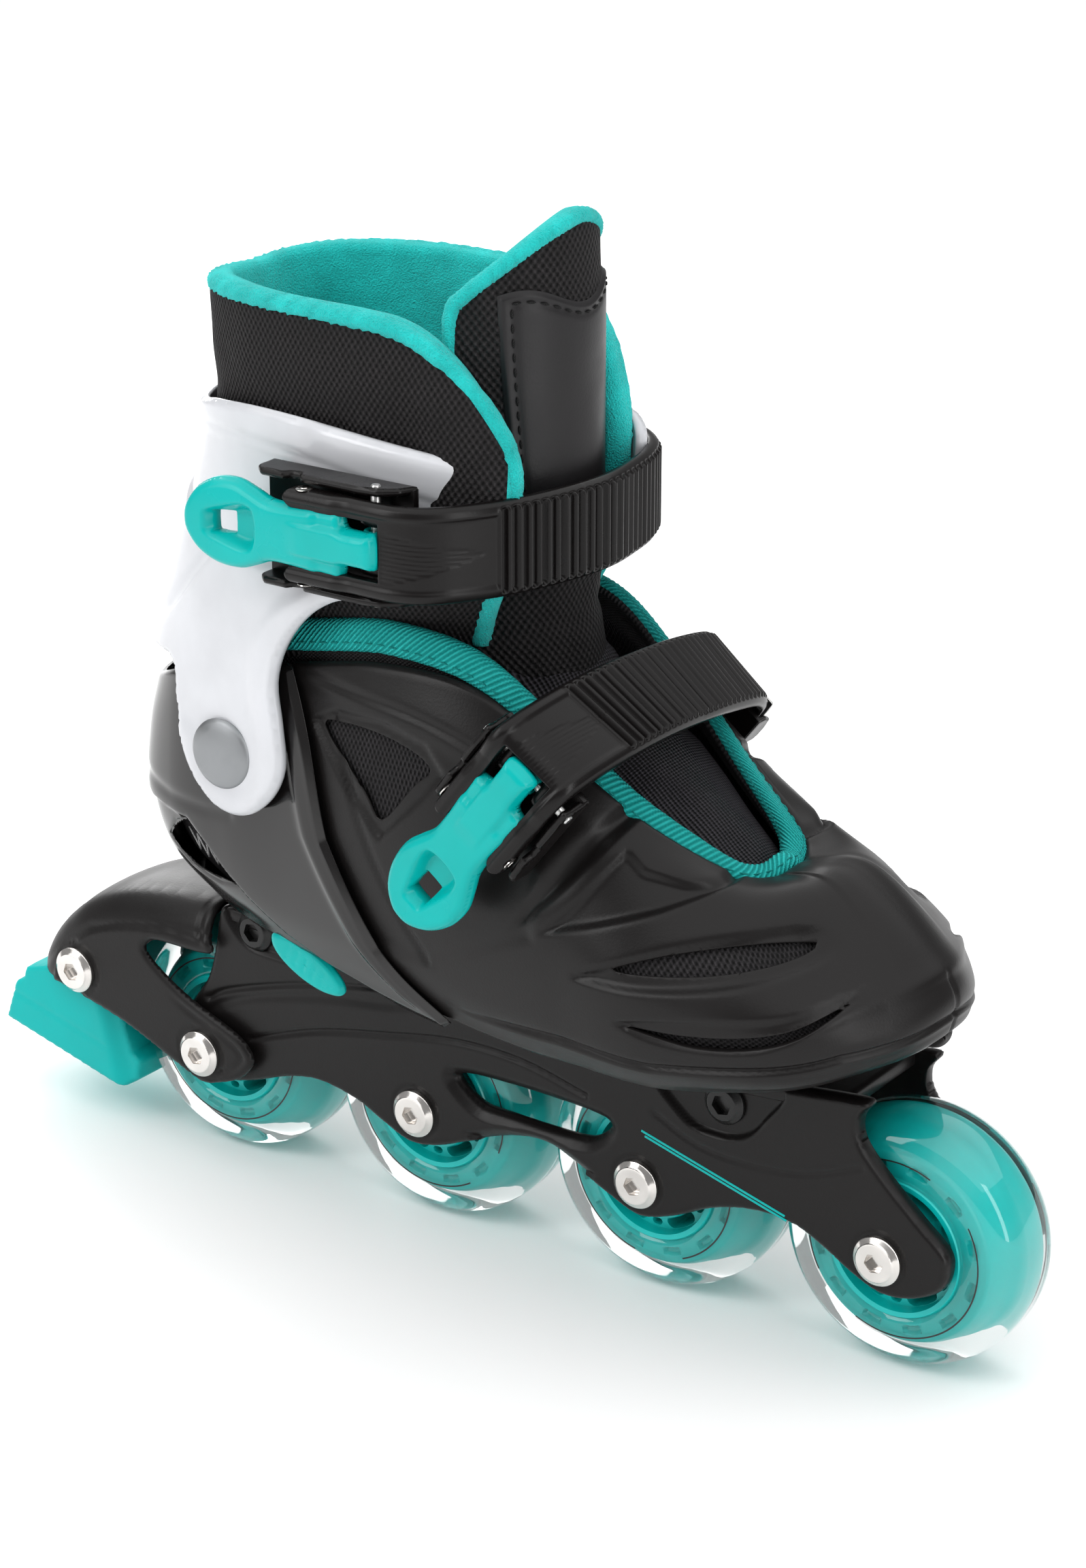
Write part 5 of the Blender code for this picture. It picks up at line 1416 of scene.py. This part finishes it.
class Buckle:
    """One ratchet buckle in its own frame: u along the strap, v outward from the middle plane, w across."""

    def __init__(self, prefix, body, path, cone, base_range, receiver_length, teeth_from):
        self.prefix, self.body, self.path, self.cone = prefix, body, path, cone
        self.base_range, self.receiver_length, self.teeth_from = base_range, receiver_length, teeth_from
        along = unit(np.array(joint(f"{prefix}_strap_slide")["axis"], float))
        self.axes = np.array((along, (0.0, -1.0, 0.0), (-along[2], 0.0, along[0])))
        pivot, far = pivot_of(f"{prefix}_lever_hinge"), pivot_of(f"{prefix}_pawl_hinge")
        self.origin = pivot * (1, 0, 1)
        self.face = -pivot[1] - HINGE_LIFT
        self.far_face = abs(far[1]) - PAWL_LIFT
        self.far_u = float((far - self.origin) @ along) - 2.5

    def at(self, u, v, w):
        return self.origin + np.stack(np.broadcast_arrays(u, v, w), -1) @ self.axes

    def flat_on(self, face, sign=1):
        """Place for plates that lie along the strap, at heights over a face."""
        return lambda a, b, c: self.at(a, sign * (face + c), b)

    def turn(self, solid, profile, u, v, segments):
        lathe(solid, profile, self.at(u, v, 0.0), segments, axes=self.axes)

    def rod(self, solid, u, v, half):
        profile = [(AXIS_RADIUS, -half), (PIN_RADIUS * 0.8, -half), (PIN_RADIUS, -half + 0.3),
                   (PIN_RADIUS, half - 0.3), (PIN_RADIUS * 0.8, half), (AXIS_RADIUS, half)]
        self.turn(solid, profile, u, v, 24)

    def finish(self, solid, piece, body, stands_for, material, slot, sharp=None):
        make(f"{self.prefix}_{piece}", solid, [material], body, [f"{self.prefix}_{stands_for}"], slot, sharp)

    def lever(self):
        outline = mirrored(LEVER_OUTLINE)
        params, quads = lattice(np.arange(-52.6, 4.4, 0.4), np.arange(-11.2, 11.3, 0.4))
        keep = np.minimum(inside_of(params, outline), -inside_of(params, LEVER_HOLE, 2))
        params, faces = cut(params, quads, keep)
        edge = inside_of(params, outline)
        u, w = params.T
        bow = 0.0009 * (u + 22) ** 2
        top = 12.7 - rounding(edge, 2.0) - 0.0035 * (w * 1.6) ** 2 + bow
        top += recess(inside_of(params, mirrored(FINGER_RECESS), 5), 3.6, 3.0)
        top -= 0.8 * smoothstep(np.abs(w), 3.6, 4.6) * smoothstep(u, -15, -12)
        top += 0.5 * smoothstep(-np.abs(w), -4.0, -3.2) * smoothstep(u, -22, -17) * smoothstep(-u, -4, 2)
        bottom = 7.3 + rounding(edge, 0.8) + bow
        solid = Solid()
        plate(solid, params, faces, self.flat_on(self.face), top, bottom, lip=0.25)
        self.turn(solid, BARREL, 0.0, self.face + HINGE_LIFT, 28)
        self.finish(solid, "lever_moulding", f"{self.prefix}_lever", "lever", TEAL_PLASTIC, "teal_plastic")

    def strap_outline(self, params, spots, length):
        """Distance inside the strap: a fork with round ends at the lever and a rounded tail."""
        run, w = params.T
        u, v = spots.T
        slot = np.minimum(7.1 - np.abs(w), 4.0 - u)
        ends = 2.0 - np.hypot(np.maximum(2.0 - run, 0), np.abs(np.abs(w) - PRONG_MIDDLE))
        prongs = np.where(run < 2.0, np.minimum(-slot, ends), -slot)
        tail = length - 0.5 - run
        tip = 6 - np.hypot(np.maximum(6 - tail, 0), np.maximum(np.abs(w) - 5.2, 0))
        return np.min((np.where(v > 0, prongs, 1.0), tail, tip), axis=0)

    def strap(self):
        path = smooth(self.path, 40)
        steps = run_of(path)
        length = np.arange(0, steps[-1], STRAP_STEP)
        line = read_off(length, steps, path)
        ahead = unit(np.gradient(line, axis=0))
        out = np.column_stack([-ahead[:, 1], ahead[:, 0]])
        params, quads = lattice(length, np.linspace(-STRAP_HALF, STRAP_HALF, 57))
        params, faces = cut(params, quads, self.strap_outline(params, read_off(params[:, 0], length, line),
                                                              steps[-1]))
        run, w = params.T
        u, v = read_off(run, length, line).T
        ou, ov = read_off(run, length, out).T
        near = smoothstep(v, -1, 1)
        thick = 1.3 + 0.9 * smoothstep(-u, 4, 10) * near
        edge = STRAP_HALF - np.abs(w)
        outer = thick - rounding(edge, 0.9)
        toothed = smoothstep(run - self.teeth_from, 0, 1) * smoothstep(edge, 0.9, 1.7)
        wave = np.sin((run - self.teeth_from) * TURN / TOOTH)
        outer += toothed * (0.85 * np.clip(wave * 1.6, -1, 1) - 0.1)
        span = run - 25
        fan = (span > 2) & (span < 26) & (w < 6.0 - 0.22 * span) & (w > -8 + 0.30 * span)
        outer -= 0.22 * fan * (0.5 + 0.5 * np.sin((w * 0.97 + span * 0.06) * TURN / 1.05))
        outer += 0.5 * smoothstep(edge, 0, 2.2) * smoothstep(-edge, -3.4, -2.2) * (1 - toothed) * near
        widened = 1 + self.cone * np.clip((u + 2) / 14, 0, 1) * w
        v, ov = v * widened, ov * widened
        upper = self.at(u + ou * outer, v + ov * outer, w)
        lower = self.at(u - ou * thick, v - ov * thick, w)
        solid = Solid()
        skins(solid, upper, lower, faces, lip=0.2)
        self.finish(solid, "strap_moulding", f"{self.prefix}_strap", "strap", BUCKLE_BLACK, "buckle_black")

    def strap_rivet(self):
        pin = Solid()
        self.rod(pin, STRAP_PIN_U, self.face + STRAP_PIN_V, 11.75)
        for sign in (-1, 1):
            cap = [(r, sign * y) for r, y in STRAP_CAP]
            self.turn(pin, cap, STRAP_PIN_U, self.face + STRAP_PIN_V, 28)
        self.finish(pin, "strap_rivet", f"{self.prefix}_strap", "strap_pin", NICKEL, "bearing_steel", 40)

    def wall(self, solid, outline, w0, w1, face, sign=1):
        """Upright wall of a channel, from w0 to w1 across."""
        outline = np.array(outline, float)
        low, high = outline.min(0), outline.max(0)
        params, quads = lattice(np.arange(low[0] - 0.3, high[0] + 0.7, 0.5),
                                np.arange(low[1] - 0.3, high[1] + 0.7, 0.5))
        params, faces = cut(params, quads, within(params, outline))
        edge = rounding(within(params, outline), 0.5)
        trim = edge * math.copysign(0.9, w1 - w0)

        def place(a, b, c):
            return self.at(a, sign * (face + b), c)

        plate(solid, params, faces, place, w1 - trim, w0 + trim, lip=0.12)

    def floor(self, solid, u0, u1, half, high, face, sign=1):
        params, quads = lattice(np.linspace(u0, u1, 40), np.linspace(-half, half, 24))
        plate(solid, params, quads, self.flat_on(face, sign), high, 0.05, lip=0.2)

    def base(self):
        rear, front = self.base_range
        solid = Solid()
        self.floor(solid, rear, front, 13.4, 2.0, self.face)
        wall = [(rear, 0.1), (rear + 0.4, 6.2), (rear + 2.5, 8.2), (rear + 9, 8.4), (rear + 10.4, 6.6),
                (rear + 13, 6.2), (rear + 14.2, 8.0), (-4, 8.2), (2, 7.6), (front - 2, 4.6), (front, 0.1)]
        for sign in (-1, 1):
            self.wall(solid, wall, sign * 12.2, sign * 14.1, self.face)
            self.wall(solid, LUG, sign * 4.7, sign * 7.0, self.face)
        self.finish(solid, "base_moulding", self.body, "buckle_base", BUCKLE_BLACK, "buckle_black", 45)
        pin = Solid()
        self.rod(pin, 0, self.face + HINGE_LIFT, 14.5)
        self.finish(pin, "hinge_rod", self.body, "hinge_pin", STEEL, "bearing_steel", 40)

    def receiver(self):
        rear, front = self.far_u, self.far_u + self.receiver_length
        solid = Solid()
        self.floor(solid, rear, front, 13.0, 1.6, self.far_face, -1)
        wall = [(rear, 0.1), (rear + 0.3, 6.8), (rear + 1.6, 7.8), (rear + 5, 7.8), (front - 1.5, 6.4),
                (front, 3.5), (front, 0.1)]
        for sign in (-1, 1):
            self.wall(solid, wall, sign * 11.9, sign * 13.4, self.far_face, -1)
        self.finish(solid, "receiver_moulding", self.body, "receiver", BUCKLE_BLACK, "buckle_black", 45)

    def pawl(self):
        solid = Solid()
        params, quads = lattice(np.linspace(1.5, 12.0, 30), np.linspace(-11.2, 11.2, 40))
        run = params[:, 0]
        top = np.interp(run, *PAWL_TOP) + 0.5 * bell(run - 10, 1.2)
        low = np.interp(run, *PAWL_LOW)
        plate(solid, params + (self.far_u, 0), quads, self.flat_on(self.far_face, -1), top, low, lip=0.3)
        self.rod(solid, self.far_u + 2.5, -(self.far_face + PAWL_LIFT), 11.5)
        self.finish(solid, "pawl_plate", f"{self.prefix}_pawl", "pawl", STEEL, "bearing_steel", 40)


def buckles():
    upper = Buckle("upper", "cuff", UPPER_PATH, 0.0, (-34, 8), 10.5, 54.0)
    lower = Buckle("lower", "toe", LOWER_PATH, 0.006, (-24, 4), 10.0, 47.0)
    for buckle in (upper, lower):
        buckle.base()
        buckle.lever()
        buckle.strap()
        buckle.strap_rivet()
        buckle.receiver()
        buckle.pawl()


# ---------------------------------------------------------------- carried-over nodes, stage and camera

def dress(node_name, finish):
    """Give a CAD node that stays its finished material."""
    mesh = frame["nodes"][node_name].data
    mesh.materials.clear()
    mesh.materials.append(finish)


def area_light(name, place, aim, size, watts):
    light = bpy.data.lights.new(name, "AREA")
    light.shape = "RECTANGLE"
    light.size, light.size_y = size
    light.energy = watts
    obj = bpy.data.objects.new(name, light)
    obj.location = place
    obj.rotation_euler = (Vector(aim) - Vector(place)).to_track_quat("-Z", "Y").to_euler()
    bpy.context.scene.collection.objects.link(obj)


FLOOR_REACH = 6.0
WORLD_STRENGTH = 0.32
AIM = (0, 0, 0.12)
# name, place and aim in metres, width and height, watts
LIGHTS = (("ceiling", (0, 0.5, 3.2), (0, 0.5, 0), (8.0, 8.0), 262),
          ("key", (-0.55, -0.95, 0.75), AIM, (0.5, 0.9), 6),
          ("side_strip", (1.1, -0.35, 0.45), AIM, (0.25, 0.9), 4),
          ("back_strip", (-0.9, 0.7, 0.6), AIM, (0.4, 0.9), 5))


def stage():
    mesh = bpy.data.meshes.new("floor")
    corners = [(x * FLOOR_REACH, y * FLOOR_REACH, 0) for x, y in ((-1, -1), (1, -1), (1, 1), (-1, 1))]
    mesh.from_pydata(corners, [], [(0, 1, 2, 3)])
    mesh.materials.append(blank("pale_floor", (0.93, 0.93, 0.93), 0.8, {})[0])
    floor = bpy.data.objects.new("floor", mesh)
    bpy.context.scene.collection.objects.link(floor)
    world = bpy.data.worlds.new("studio")
    world.use_nodes = True
    background = world.node_tree.nodes["Background"]
    background.inputs["Color"].default_value = (1.0, 1.0, 1.0, 1.0)
    background.inputs["Strength"].default_value = WORLD_STRENGTH
    bpy.context.scene.world = world
    for light in LIGHTS:
        area_light(*light)
    bpy.context.scene.view_settings.view_transform = "Standard"


AZIMUTH, ELEVATION = math.radians(35.1), math.radians(20.9)
CAMERA_TARGET = (-7.35, 0.0, 120.4)
CAMERA_DISTANCE = 867.5
LENS = 82.06


def camera():
    data = bpy.data.cameras.new("camera")
    data.lens = LENS
    data.sensor_fit = "VERTICAL"
    data.sensor_height = 36.0
    obj = bpy.data.objects.new("camera", data)
    back = Vector((math.sin(AZIMUTH) * math.cos(ELEVATION), -math.cos(AZIMUTH) * math.cos(ELEVATION),
                   math.sin(ELEVATION)))
    target = Vector(metres(CAMERA_TARGET))
    obj.location = target + back * CAMERA_DISTANCE * MM
    obj.rotation_euler = back.to_track_quat("Z", "Y").to_euler()
    bpy.context.scene.collection.objects.link(obj)
    bpy.context.scene.camera = obj


def build():
    wheels()
    frame_moulding()
    frame_stripes()
    mount_screws()
    brake_fender()
    brake_block()
    brake_bolt()
    toe_shell()
    rear_shell()
    size_button()
    liner()
    binding()
    insole()
    cuff()
    collar()
    upper_tongue()
    tongue_facing()
    lower_tongue()
    buckles()
    for name in ("button_spring", "upper_base_rivet", "lower_base_rivet"):
        dress(name, STEEL)
    stage()
    camera()


build()
